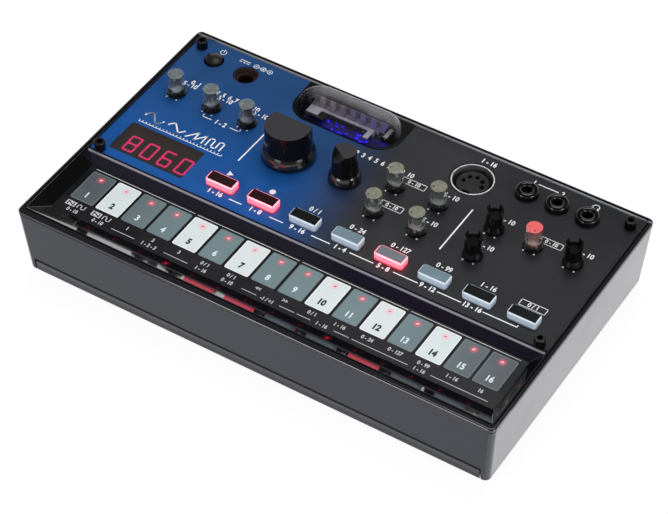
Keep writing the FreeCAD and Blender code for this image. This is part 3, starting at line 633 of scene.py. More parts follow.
@dataclass(frozen=True)
class PlateFinish(Finish):
    """Printed keyboard plate, with painted shade making it near black between the keys.

    Attributes:
        row: Places of the keys.
        face: Colour of the plate's face.
        channel: Colour of the painted shade between the keys.
    """

    row: KeyRow
    face: Colour = linear(27, 25, 29)
    channel: Colour = linear(10, 15, 19)

    def material(self) -> bpy.types.Material:
        """Builds its nodes.

        Returns:
            The finished material.
        """
        graph = Graph(self.name)
        # painted shade in the band where the keys stand over the plate
        between = graph.y.rise(self.row.front(), -0.4, 0.0) * graph.y.fall(self.row.back(), 0.0, 0.4)
        return graph.shade(
            Base_Color=graph.blend(between, self.face, self.channel),
            Roughness=graph.wander(0.012, 3.0, 0.28, 0.36),
            Specular_IOR_Level=0.25,
            Normal=graph.grain(0.0003, 0.3, 0.000004),
        )


@dataclass(frozen=True)
class KeyFinish(Finish):
    """Touch key plastic with a painted highlight along its edges and a small lamp glowing through each
    key, with a painted spot in the lamp's middle.

    Attributes:
        row: Places of the keys.
        middle: Colour of the keys in the middle.
        ends: Colour of the keys at both ends.
        edge: Colour of the painted highlight along their edges, also used for a faint random mottle.
        halo: Colour of the glow round the lamp.
        core: Colour of the painted spot in the lamp's middle, a highlight on the grey keys.
        strength: Strength of the glow.
        turn: Angle of the painted spot's long side from X in radians, set along the camera's right.
    """

    row: KeyRow
    middle: Colour
    ends: Colour
    edge: Colour
    halo: Colour
    core: Colour
    strength: float
    turn: float = math.radians(32.0)

    def material(self) -> bpy.types.Material:
        """Builds its nodes.

        Returns:
            The finished material.
        """
        graph = Graph(self.name)
        front, back = self.row.front(), self.row.back()
        across, along = graph.lamp_cell(self.row.pitch(), self.row.lamp_y())
        side = abs(across).rise(self.row.width() / 2, -0.5, -0.2)
        end = abs(graph.y - (front + back) / 2).rise((back - front) / 2, -0.5, -0.2)
        colour = graph.blend(abs(graph.x).ramp(0.035, 0.088), self.middle, self.ends)
        colour = graph.blend(graph.noise(0.004).ramp(0.35, 0.7, 0.0, 0.08), colour, self.edge)
        # painted highlight along each key's edges
        colour = graph.blend((side | end) * 0.8, colour, self.edge)
        cos, sin = math.cos(self.turn), math.sin(self.turn)
        # painted spot in the lamp's middle, stretched along the camera's right like a highlight on its
        # lens
        core = graph.spot(across * cos + along * sin, along * cos - across * sin, (0.00052, 0.00022), 0.5)
        lamp = graph.spot(across, along, (0.00115, 0.00115), 0.75) * 0.85 | core
        glow = graph.blend(core, self.halo, self.core)
        return graph.shade(
            Base_Color=graph.blend(lamp, colour, glow),
            Roughness=graph.wander(0.012, 3.0, 0.30, 0.42),
            Specular_IOR_Level=0.4,
            Emission_Color=glow,
            Emission_Strength=lamp * self.strength,
            Normal=graph.grain(0.0003, 0.3, 0.000004),
        )


@dataclass(frozen=True)
class ButtonShell(Finish):
    """Pale frosted button plastic with a painted highlight at its top edges and painted shade at its foot,
    glowing when it is lit.

    Attributes:
        side: Colour of the sides.
        edge: Colour of the painted highlight at the top edge, also used for a faint random mottle.
        foot: Colour of the painted shade at the foot, next to the panel.
        panel_top: Level of the panel in metres.
        height: Height of the cap over the panel in metres.
        glow: Colour of its light.
        strength: Strength of its light.
    """

    side: Colour
    edge: Colour
    foot: Colour
    panel_top: float
    height: float
    glow: Colour = (0.0, 0.0, 0.0)
    strength: float = 0.0

    def material(self) -> bpy.types.Material:
        """Builds its nodes.

        Returns:
            The finished material.
        """
        graph = Graph(self.name)
        # painted shade at the foot, next to the panel, where the glow is also weaker
        foot = graph.z.fall(self.panel_top, 0.05, 0.7)
        # painted highlight at the top edges
        top = graph.z.rise(self.panel_top + self.height, -0.7, -0.3)
        colour = graph.blend(top, graph.blend(foot, self.side, self.foot), self.edge)
        return graph.shade(
            Base_Color=graph.blend(graph.noise(0.0014).ramp(0.4, 0.7, 0.0, 0.18), colour, self.edge),
            Roughness=graph.wander(0.004, 2.0, 0.30, 0.40),
            Emission_Color=self.glow,
            Emission_Strength=(foot * 0.7).rest() * self.strength,
            Normal=graph.grain(0.0004, 0.3, 0.000005),
        )


@dataclass(frozen=True)
class KnobFinish(Finish):
    """Black knob: glossy turned sides under a matte top.

    Attributes:
        top_level: Level of the knob's top in metres.
        foot_level: Level under which the flared foot shines more, in metres.
        side: Colour of the sides.
        top: Colour of the top.
    """

    top_level: float
    foot_level: float
    side: Colour = (0.004, 0.004, 0.0045)
    top: Colour = linear(53, 53, 56)

    def material(self) -> bpy.types.Material:
        """Builds its nodes.

        Returns:
            The finished material.
        """
        graph = Graph(self.name)
        on_top = graph.z.rise(self.top_level, -0.12, -0.04)
        turned = graph.noise(0.0006, 2.0, (0.15, 0.15, 1.0)).ramp(*NOISE_SPAN, 0.10, 0.20)
        fine = graph.noise(0.00012, 1.0)
        return graph.shade(
            Base_Color=graph.blend(on_top, self.side, self.top),
            Roughness=turned * on_top.rest() + fine.ramp(*NOISE_SPAN, 0.55, 0.75) * on_top,
            Specular_IOR_Level=0.17,
            Coat_Weight=graph.z.fall(self.foot_level, 0.0, 0.6) * 0.8,
            Coat_Roughness=0.05,
            Coat_IOR=1.7,
            Normal=graph.bump(fine, 0.2, 0.000004),
        )


@dataclass(frozen=True)
class ClearCap(Finish):
    """Clear knob cap: a frosted top disc over see-through walls that thicken towards their outline, with
    painted highlights and painted shade in bands.

    Attributes:
        top_level: Level of the cap's top in metres.
        foot_level: Level of the cap's lower edge in metres.
        top: Colour of the frosted top.
        wall: Colour of the walls.
        band: Colour of the painted highlight bands and streaks in the walls.
        dark: Colour of the painted shade band under the top, also used for faint clouds in the top.
        glow: Strength of the light in the top.
        low_band: Where the painted highlight band starts, is full, begins to end and ends, in shares of
            the height.
        high_band: The same of the painted shade band.
    """

    top_level: float
    foot_level: float
    top: Colour
    wall: Colour
    band: Colour
    dark: Colour
    glow: float = 0.0
    low_band: tuple[float, ...] = (0.12, 0.22, 0.30, 0.52)
    high_band: tuple[float, ...] = (0.74, 0.80, 0.86, 0.94)

    def material(self) -> bpy.types.Material:
        """Builds its nodes.

        Returns:
            The finished material.
        """
        graph = Graph(self.name)
        height = (self.top_level - self.foot_level) / MM
        wavy = graph.z + graph.wander(0.0030, 1.0, -0.0005, 0.0005)
        # painted highlight band low on the walls and painted shade band under the top
        bright, dark = (wavy.band(self.foot_level, *(share * height for share in shares))
                        for shares in (self.low_band, self.high_band))
        # painted highlight streaks in the walls
        highlight_streak = graph.noise(0.0013, 2.0, (1.0, 1.0, 0.35)).ramp(0.52, 0.70)
        wall = graph.blend(bright * 0.8, self.wall, self.band)
        wall = graph.blend(dark * 0.8, wall, self.dark)
        wall = graph.blend(highlight_streak * 0.55, wall, self.band)
        dense = graph.facing().ramp(0.45, 0.95, 0.14, 0.60) | bright * 0.42 | dark * 0.50 | highlight_streak * 0.35
        frosted = graph.z.rise(self.top_level, -0.50, -0.20)
        top = graph.blend(graph.noise(0.0016).ramp(0.35, 0.7) * 0.35, self.top, self.dark)
        return graph.shade(
            Base_Color=graph.blend(frosted, wall, top),
            Roughness=frosted.ramp(0.0, 1.0, 0.10, 0.30),
            Alpha=dense | frosted * 0.86,
            Emission_Color=self.top,
            Emission_Strength=frosted * self.glow,
        )


@dataclass(frozen=True)
class SpindleFinish(Finish):
    """Knob shaft: black below the skirt's top and milky inside the clear cap.

    Attributes:
        skirt_top: Level of the skirt's top in metres.
        core: Colour of the part inside the cap.
        black: Colour of the skirt.
    """

    skirt_top: float
    core: Colour
    black: Colour = (0.004, 0.004, 0.0045)

    def material(self) -> bpy.types.Material:
        """Builds its nodes.

        Returns:
            The finished material.
        """
        graph = Graph(self.name)
        shade = graph.z.ramp(self.skirt_top + 0.0005, self.skirt_top + 0.0040, 1.3, 0.8)
        milky = graph.blend(1.0, self.core, shade, "MULTIPLY")
        return graph.shade(
            Base_Color=graph.blend(graph.z.rise(self.skirt_top, 0.02, 0.1), self.black, milky),
            Roughness=graph.wander(0.002, 2.0, 0.14, 0.26),
            Specular_IOR_Level=0.4,
            Normal=graph.grain(0.0004, 0.2, 0.000004),
        )


@dataclass(frozen=True)
class ClearPlastic(Finish):
    """See-through plastic with faint flow marks, denser where it is seen edge on.

    Attributes:
        tint: Colour of the haze in it.
        face: Cover of the surface where it is seen square on, from 0 to 1.
        edge: Cover of the surface where it is seen edge on, from 0 to 1.
    """

    tint: Colour
    face: float
    edge: float

    def material(self) -> bpy.types.Material:
        """Builds its nodes.

        Returns:
            The finished material.
        """
        graph = Graph(self.name)
        flow = graph.noise(0.008)
        deep = tuple(part * 0.8 for part in self.tint)
        return graph.shade(
            Base_Color=graph.blend(flow.ramp(*NOISE_SPAN, 0.0, 0.3), self.tint, deep),
            Roughness=flow.ramp(*NOISE_SPAN, 0.04, 0.064),
            Alpha=graph.facing().ramp(0.25, 0.95, self.face, self.edge),
        )


@dataclass(frozen=True)
class DomeFinish(Finish):
    """Smoky clear dome: dark at the front, with a painted reflection of the pale room in its back half and
    its edges.

    Attributes:
        middle_y: Y of the dome's middle in metres.
        half_width: Half the dome's width in metres.
        dark: Colour of the haze at the front.
        pale: Colour of the painted reflection at the back.
        bright: Colour of the painted gleam along the back edge.
    """

    middle_y: float
    half_width: float
    dark: Colour = (0.010, 0.010, 0.013)
    pale: Colour = linear(150, 150, 154)
    bright: Colour = linear(226, 226, 230)

    def material(self) -> bpy.types.Material:
        """Builds its nodes.

        Returns:
            The finished material.
        """
        graph = Graph(self.name)
        along = graph.y + graph.wander(0.010, 1.0, -0.0006, 0.0006)
        share = (along - self.middle_y) / self.half_width
        # painted reflection of the pale room in the back half, brightest along the back edge
        back = share.ramp(-0.30, 0.92)
        gleam = share.ramp(0.85, 0.95)
        haze = graph.math("POWER", back, 1.5) * share.ramp(0.72, 0.84, 1.0, 0.45) * 0.66
        edge = graph.facing().ramp(0.45, 0.90, 0.0, 0.9)
        return graph.shade(
            Base_Color=graph.blend(gleam, graph.blend(back, self.dark, self.pale), self.bright),
            Roughness=graph.wander(0.008, 2.0, 0.04, 0.07),
            Alpha=edge | haze | gleam * 0.85 | 0.05,
        )


@dataclass(frozen=True)
class TubePlan:
    """Places in the flat tube, in metres.

    Attributes:
        left: X of the electrodes' left edge.
        front: Y of the end plate's front edge.
        bar_front: Y of the electrode bar's front edge.
        bars_front: Y where the pale bars begin.
        lead_y: Y where the leads begin.
        wall_front: Y of the back wall's inner face.
        clip_x: X where the clip begins.
        plate_level: Level of the base plate's top.
        pitch: Spacing of the pale bars.
    """

    left: float
    front: float
    bar_front: float
    bars_front: float
    lead_y: float
    wall_front: float
    clip_x: float
    plate_level: float
    pitch: float


@dataclass(frozen=True)
class TubeGlass(Finish):
    """Glass of the flat tube: a dark base plate with pale bars, and the lamps' light scattered in front.

    Attributes:
        plan: Places in the tube.
        lamp: Colour of the lamps.
        plate: Colour of the base plate.
        back_plate: Colour of the base plate between the pale bars.
        bar_left: Colour of the pale bars at the left.
        bar_right: Colour of the pale bars at the right.
        light_start: Distance from the first bar's edge where the scattered light begins, in metres.
        caught: Share of their colour that plate and bars give back as caught light.
    """

    plan: TubePlan
    lamp: Colour
    plate: Colour = linear(58, 54, 62)
    back_plate: Colour = linear(112, 106, 118)
    bar_left: Colour = linear(176, 168, 168)
    bar_right: Colour = linear(150, 140, 214)
    light_start: float = 0.0065
    caught: float = 0.16

    def scattered(self, graph: Graph, along: Signal) -> Signal:
        """Scatters the lamps' light in sparks and washes.

        Args:
            graph: The material that it is for.
            along: Distance from the first bar's edge.

        Returns:
            Strength of the light.
        """
        sparks = graph.noise(0.0017, 0.0).ramp(0.58, 0.70)
        wash = graph.noise(0.005, 1.0).ramp(0.35, 0.65, 0.02, 0.14)
        reach = along.ramp(self.light_start, self.light_start + 0.003, 0.05, 1.0)
        return graph.y.fall(self.plan.bar_front, -0.4, 0.0) * reach * (sparks + wash)

    def bars(self, graph: Graph, along: Signal) -> Signal:
        """Marks the pale bars.

        Args:
            graph: The material that it is for.
            along: Distance from the first bar's edge.

        Returns:
            1 on a bar, fading to 0 beside it.
        """
        pitch = self.plan.pitch
        off_bar = abs(graph.math("FRACT", along / pitch) - 0.5) * pitch
        return off_bar.fall(0.25 * pitch, -0.2, 0.3) * graph.wander(0.0035, 2.0, 0.5, 1.0)

    def material(self) -> bpy.types.Material:
        """Builds its nodes.

        Returns:
            The finished material.
        """
        graph = Graph(self.name)
        plan = self.plan
        on_plate = graph.z.fall(plan.plate_level, 0.05, 0.15)
        on_wall = graph.y.rise(plan.wall_front, -0.2, -0.1)
        along = graph.x - plan.left
        behind = graph.y.rise(plan.bars_front, 0.0, 0.3) * along.fall(plan.clip_x - plan.left, 0.0, 0.3)
        pale = graph.blend(along.ramp(0.0, 6.5 * plan.pitch), self.bar_left, self.bar_right)
        floor = graph.blend(behind, self.plate, self.back_plate)
        colour = graph.blend(self.bars(graph, along) * behind, floor, pale)
        light = self.scattered(graph, along) * on_plate + behind * self.caught
        clear = graph.facing().ramp(0.45, 0.95, 0.03, 0.30)
        return graph.shade(
            Base_Color=colour,
            Roughness=graph.wander(0.008, 2.0, 0.05, 0.10),
            Alpha=clear | on_plate | on_wall * 0.9,
            Emission_Color=graph.blend(behind, self.lamp, colour),
            Emission_Strength=light * (on_plate | on_wall),
        )


@dataclass(frozen=True)
class ElectrodeFinish(Finish):
    """Matte silver frame of the tube, shaded at its ends, with the leads behind it in dim light.

    Attributes:
        plan: Places in the tube.
        silver: Colour of the frame.
        shade: Colour of the leads.
        dark: Colour of the shaded parts.
        plate_length: Length of the end plate in metres.
        plate_lit: Length of its lit part in metres.
        plate_edge: Depth of its shaded front edge in metres.
        clip_lit: Distances from the clip's edge between which it is lit, in metres.
        dim: Strength of the light on the leads.
    """

    plan: TubePlan
    silver: Colour = linear(226, 222, 236)
    shade: Colour = linear(104, 98, 116)
    dark: Colour = (0.006, 0.006, 0.009)
    plate_length: float = 0.0083
    plate_lit: float = 0.0050
    plate_edge: float = 0.0013
    clip_lit: Place = (0.0010, 0.0024)
    dim: float = 0.45

    def shaded(self, graph: Graph) -> Signal:
        """Marks the shaded parts of end plate and clip.

        Args:
            graph: The material that it is for.

        Returns:
            1 on them and 0 elsewhere.
        """
        plan = self.plan
        on_plate = graph.x.fall(plan.left + self.plate_length, 0.0, 0.2)
        on_plate *= graph.y.fall(plan.bar_front, -0.2, 0.0)
        beyond = graph.x.rise(plan.left + self.plate_lit, 0.0, 0.2)
        edge = graph.y.fall(plan.front + self.plate_edge, -0.2, 0.0)
        start = graph.x.fall(plan.clip_x + self.clip_lit[0], -0.2, 0.0)
        end = graph.x.rise(plan.clip_x + self.clip_lit[1], 0.0, 0.2)
        return on_plate * (beyond | edge) | graph.x.rise(plan.clip_x, -0.2, 0.0) * (start | end)

    def material(self) -> bpy.types.Material:
        """Builds its nodes.

        Returns:
            The finished material.
        """
        graph = Graph(self.name)
        on_lead = graph.y.rise(self.plan.lead_y, -0.2, 0.0) * graph.x.fall(self.plan.clip_x, -0.4, 0.0)
        worn = graph.blend(graph.wander(0.005, 2.0, 0.0, 0.45), self.silver, self.shade)
        colour = graph.blend(on_lead, worn, self.shade)
        return graph.shade(
            Base_Color=graph.blend(self.shaded(graph), colour, self.dark),
            Metallic=0.2,
            Roughness=graph.wander(0.001, 2.0, 0.38, 0.55),
            Emission_Color=self.shade,
            Emission_Strength=on_lead * self.dim,
        )


@dataclass(frozen=True)
class Metal(Finish):
    """Bare or plated metal with fine marks and faint stains.

    Attributes:
        colour: Metal colour.
        roughness: Mean roughness.
    """

    colour: Colour
    roughness: float

    def material(self) -> bpy.types.Material:
        """Builds its nodes.

        Returns:
            The finished material.
        """
        graph = Graph(self.name)
        fine = graph.noise(0.0003, 3.0)
        stained = tuple(part * 0.75 for part in self.colour)
        return graph.shade(
            Base_Color=graph.blend(graph.noise(0.004).ramp(0.4, 0.8, 0.0, 0.3), self.colour, stained),
            Metallic=1.0,
            Roughness=fine.ramp(*NOISE_SPAN, self.roughness * 0.7, self.roughness * 1.4),
            Normal=graph.bump(fine, 0.15, 0.000005),
        )


@dataclass(frozen=True)
class Lamp(Finish):
    """Glowing lamp lens with a faint mottle.

    Attributes:
        colour: Light's colour.
        strength: Light's strength.
    """

    colour: Colour
    strength: float

    def material(self) -> bpy.types.Material:
        """Builds its nodes.

        Returns:
            The finished material.
        """
        graph = Graph(self.name)
        mottle = graph.noise(0.0008)
        return graph.shade(
            Base_Color=tuple(part * 0.5 for part in self.colour),
            Roughness=mottle.ramp(*NOISE_SPAN, 0.2, 0.4),
            Emission_Color=self.colour,
            Emission_Strength=mottle.ramp(*NOISE_SPAN, self.strength * 0.85, self.strength * 1.15),
        )


@dataclass(frozen=True)
class CircuitBoard(Finish):
    """Green board with copper tracks showing through the lacquer.

    Attributes:
        colour: Lacquer colour.
        track: Colour of the tracks.
    """

    colour: Colour = (0.012, 0.09, 0.035)
    track: Colour = (0.05, 0.16, 0.05)

    def material(self) -> bpy.types.Material:
        """Builds its nodes.

        Returns:
            The finished material.
        """
        graph = Graph(self.name)
        fed = {"Vector": graph.place, "Scale": 220.0, "Mortar Size": 0.04}
        lines = Signal(graph, graph.node("TexBrick", fed).outputs["Fac"])
        return graph.shade(
            Base_Color=graph.blend(lines * 0.7, self.colour, self.track),
            Roughness=graph.wander(0.005, 2.0, 0.25, 0.4),
            Normal=graph.bump(lines, 0.2, 0.00003),
        )


@dataclass(frozen=True)
class CellWrap(Finish):
    """Printed foil round a battery cell, with a plain band at one end.

    Attributes:
        start: Distance from the first cell's end to X = 0 in metres.
        length: Length of a cell in metres.
        edge: Where the band begins, in shares of the length.
        body: Main colour.
        band: Colour of the band.
    """

    start: float = 0.07575
    length: float = 0.0505
    edge: Place = (0.74, 0.75)
    body: Colour = (0.02, 0.021, 0.023)
    band: Colour = (0.55, 0.30, 0.08)

    def material(self) -> bpy.types.Material:
        """Builds its nodes.

        Returns:
            The finished material.
        """
        graph = Graph(self.name)
        share = graph.math("FRACT", (graph.x + self.start) / self.length)
        return graph.shade(
            Base_Color=graph.blend(share.ramp(*self.edge), self.body, self.band),
            Metallic=0.6,
            Roughness=graph.wander(0.003, 2.0, 0.18, 0.32),
            Normal=graph.grain(0.002, 0.2, 0.00002, 2.0),
        )


@dataclass(frozen=True)
class Ink(Finish):
    """Screen printed ink, slightly uneven in gloss.

    Attributes:
        colour: Ink colour.
    """

    colour: Colour

    def material(self) -> bpy.types.Material:
        """Builds its nodes.

        Returns:
            The finished material.
        """
        graph = Graph(self.name)
        return graph.shade(
            Base_Color=self.colour,
            Roughness=graph.wander(0.001, 2.0, 0.4, 0.6),
            Specular_IOR_Level=0.3,
            Normal=graph.grain(0.0002, 0.2, 0.000003),
        )


def dress(finish: Finish, *nodes: str) -> None:
    """Gives CAD nodes one material.

    Args:
        finish: What they are made of.
        nodes: Names of the nodes.
    """
    material = finish.material()
    for node in nodes:
        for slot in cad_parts[node].material_slots:
            slot.material = material
        log.info("dressed %s with %s", node, material.name)


def middle(node: str) -> Vector:
    """Returns the middle of a node's box at rest, in metres."""
    low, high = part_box(node)
    return (Vector(low) + Vector(high)) / 2


def top_of(node: str) -> float:
    """Returns the highest level of a node at rest, in metres."""
    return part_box(node)[1][2]


def place_piece(name: str, form: bmesh.types.BMesh, material: bpy.types.Material, body: str) -> None:
    """Makes an object of a finished form and sets it on its body.

    Args:
        name: Name of the piece.
        form: Its mesh; it is freed.
        material: Its material.
        body: Body that it rides on.
    """
    bmesh.ops.recalc_face_normals(form, faces=form.faces)
    mesh = bpy.data.meshes.new(name)
    form.to_mesh(mesh)
    form.free()
    mesh.materials.append(material)
    piece = bpy.data.objects.new(name, mesh)
    bpy.context.scene.collection.objects.link(piece)
    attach(piece, body)
    log.info("made %s on %s with %d faces", name, body, len(mesh.polygons))


@dataclass
class Marks:
    """Thin printed marks gathered in one mesh, drawn in millimetres on a level.

    Attributes:
        level: Level that they are printed on, in metres.
        thickness: Thickness of the ink in millimetres.
        form: Mesh that gathers them.
    """

    level: float
    thickness: float = 0.03
    form: bmesh.types.BMesh = field(default_factory=bmesh.new)

    def frame_at(self, x: float, y: float, angle: float = 0.0) -> Matrix:
        """Returns the place of a mark whose middle is at x and y, turned by an angle in radians."""
        lift = Matrix.Translation((x * MM, y * MM, self.level + self.thickness * MM / 4))
        return lift @ Matrix.Rotation(angle, 4, "Z")

    def block(self, x: float, y: float, angle: float, length: float, width: float) -> None:
        """Draws a block of ink.

        Args:
            x: Middle.
            y: Middle.
            angle: Direction of its length in radians.
            length: Length in millimetres.
            width: Width in millimetres.
        """
        size = Matrix.Diagonal((length * MM, width * MM, self.thickness * MM, 1.0))
        bmesh.ops.create_cube(self.form, size=1.0, matrix=self.frame_at(x, y, angle) @ size)

    def bar(self, start: Place, end: Place, width: float) -> None:
        """Draws a straight bar.

        Args:
            start: One end.
            end: Other end.
            width: Width in millimetres.
        """
        run = Vector(end) - Vector(start)
        centre = (Vector(end) + Vector(start)) / 2
        self.block(centre.x, centre.y, math.atan2(run.y, run.x), run.length, width)

    def path(self, points: list[Place], width: float, closed: bool = False) -> None:
        """Draws bars from point to point with square joints.

        Args:
            points: Corners of the line.
            width: Width in millimetres.
            closed: Whether it runs back to the first point.
        """
        follow = points[1:] + (points[:1] if closed else [])
        for start, end in zip(points, follow):
            reach = (Vector(end) - Vector(start)).normalized() * width / 2
            self.bar(tuple(Vector(start) - reach), tuple(Vector(end) + reach), width)

    def spot(self, x: float, y: float, radius: float, sides: int = 12, angle: float = 0.0) -> None:
        """Draws a filled round spot, or a regular shape of few sides.

        Args:
            x: Middle.
            y: Middle.
            radius: Radius in millimetres.
            sides: Number of sides.
            angle: Turn in radians.
        """
        bmesh.ops.create_cone(self.form, cap_ends=True, segments=sides, radius1=radius * MM,
                              radius2=radius * MM, depth=self.thickness * MM,
                              matrix=self.frame_at(x, y, angle))

    def arc(self, x: float, y: float, radius: float, width: float, start: float = 0.0,
            sweep: float = 360.0) -> None:
        """Draws a ring or part of one.

        Args:
            x: Middle.
            y: Middle.
            radius: Radius of its middle line in millimetres.
            width: Width in millimetres.
            start: First angle in degrees.
            sweep: Angle that it covers in degrees.
        """
        steps = max(6, int(sweep / 12))
        half = math.radians(sweep) / steps / 2
        chord = 2 * (radius + width / 2) * math.tan(half)
        for step in range(steps):
            angle = math.radians(start) + (2 * step + 1) * half
            self.block(x + radius * math.cos(angle), y + radius * math.sin(angle), angle, width, chord)

    def text(self, words: str, x: float, y: float, height: float, bold: float = 0.045,
             narrow: float = 0.84) -> None:
        """Writes figures, centred.

        Args:
            words: What is written.
            x: Middle.
            y: Middle.
            height: Height of the figures in millimetres.
            bold: Extra stroke width as a share of the height.
            narrow: Width of the figures as a share of the font's own.
        """
        curve = bpy.data.curves.new("figures", "FONT")
        curve.body = words
        curve.size = height * MM / 0.70
        curve.align_x = curve.align_y = "CENTER"
        curve.offset = bold * height * MM
        curve.resolution_u = 4
        curve.extrude = self.thickness * MM / 2
        holder = bpy.data.objects.new("figures", curve)
        bpy.context.scene.collection.objects.link(holder)
        bpy.context.view_layer.update()
        mesh = bpy.data.meshes.new_from_object(holder.evaluated_get(bpy.context.evaluated_depsgraph_get()))
        mesh.transform(self.frame_at(x, y) @ Matrix.Diagonal((narrow, 1.0, 1.0, 1.0)))
        self.form.from_mesh(mesh)
        bpy.data.objects.remove(holder)
        bpy.data.curves.remove(curve)
        bpy.data.meshes.remove(mesh)

    def finish(self, name: str, ink: Finish, slot: str) -> None:
        """Makes the piece of all marks drawn so far.

        Args:
            name: Name of the piece.
            ink: What it is made of.
            slot: Material slot of the record; not used.
        """
        place_piece(name, self.form, ink.material(), BASE)


@dataclass
class Case:
    """Lower case, cover, door and screws.

    Attributes:
        row: Places of the keys, whose lamps' reflections are painted on the cover's front slope.
        gleam_y: Y of the gleams in millimetres.
        gleam_keys: Keys whose gleams are bright.
        lip: Depth of the door's front lip in millimetres.
    """

    row: KeyRow = KeyRow()
    gleam_y: float = -48.9
    gleam_keys: tuple[int, ...] = (5, 11)
    lip: float = 1.5

    def build(self) -> None:
        """Dresses mouldings, screws and feet."""
        low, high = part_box("battery_door")
        dress(ShellFinish("case_black", high[2], high[0], low[1] + self.lip * MM), "bottom_case",
              "battery_door")
        pitch = self.row.pitch()
        bright = tuple(self.row.centre(number) * MM for number in self.gleam_keys)
        low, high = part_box("face_panel")
        dress(CoverFinish("cover_black", top_of("top_cover"), pitch, self.gleam_y * MM,
                          pitch * self.row.count / 2, bright, low[1], high[2], high[1]), "top_cover")
        dress(Metal("black_oxide", (0.035, 0.034, 0.034), 0.30), "panel_screws")
        dress(Metal("zinc_plate", (0.5, 0.5, 0.52), 0.3), "case_screws")
        dress(MouldedPlastic("foot_rubber", (0.012, 0.012, 0.012), Gloss.MATTE, 0.00001, 0.0005),
              "rear_feet", "door_feet")


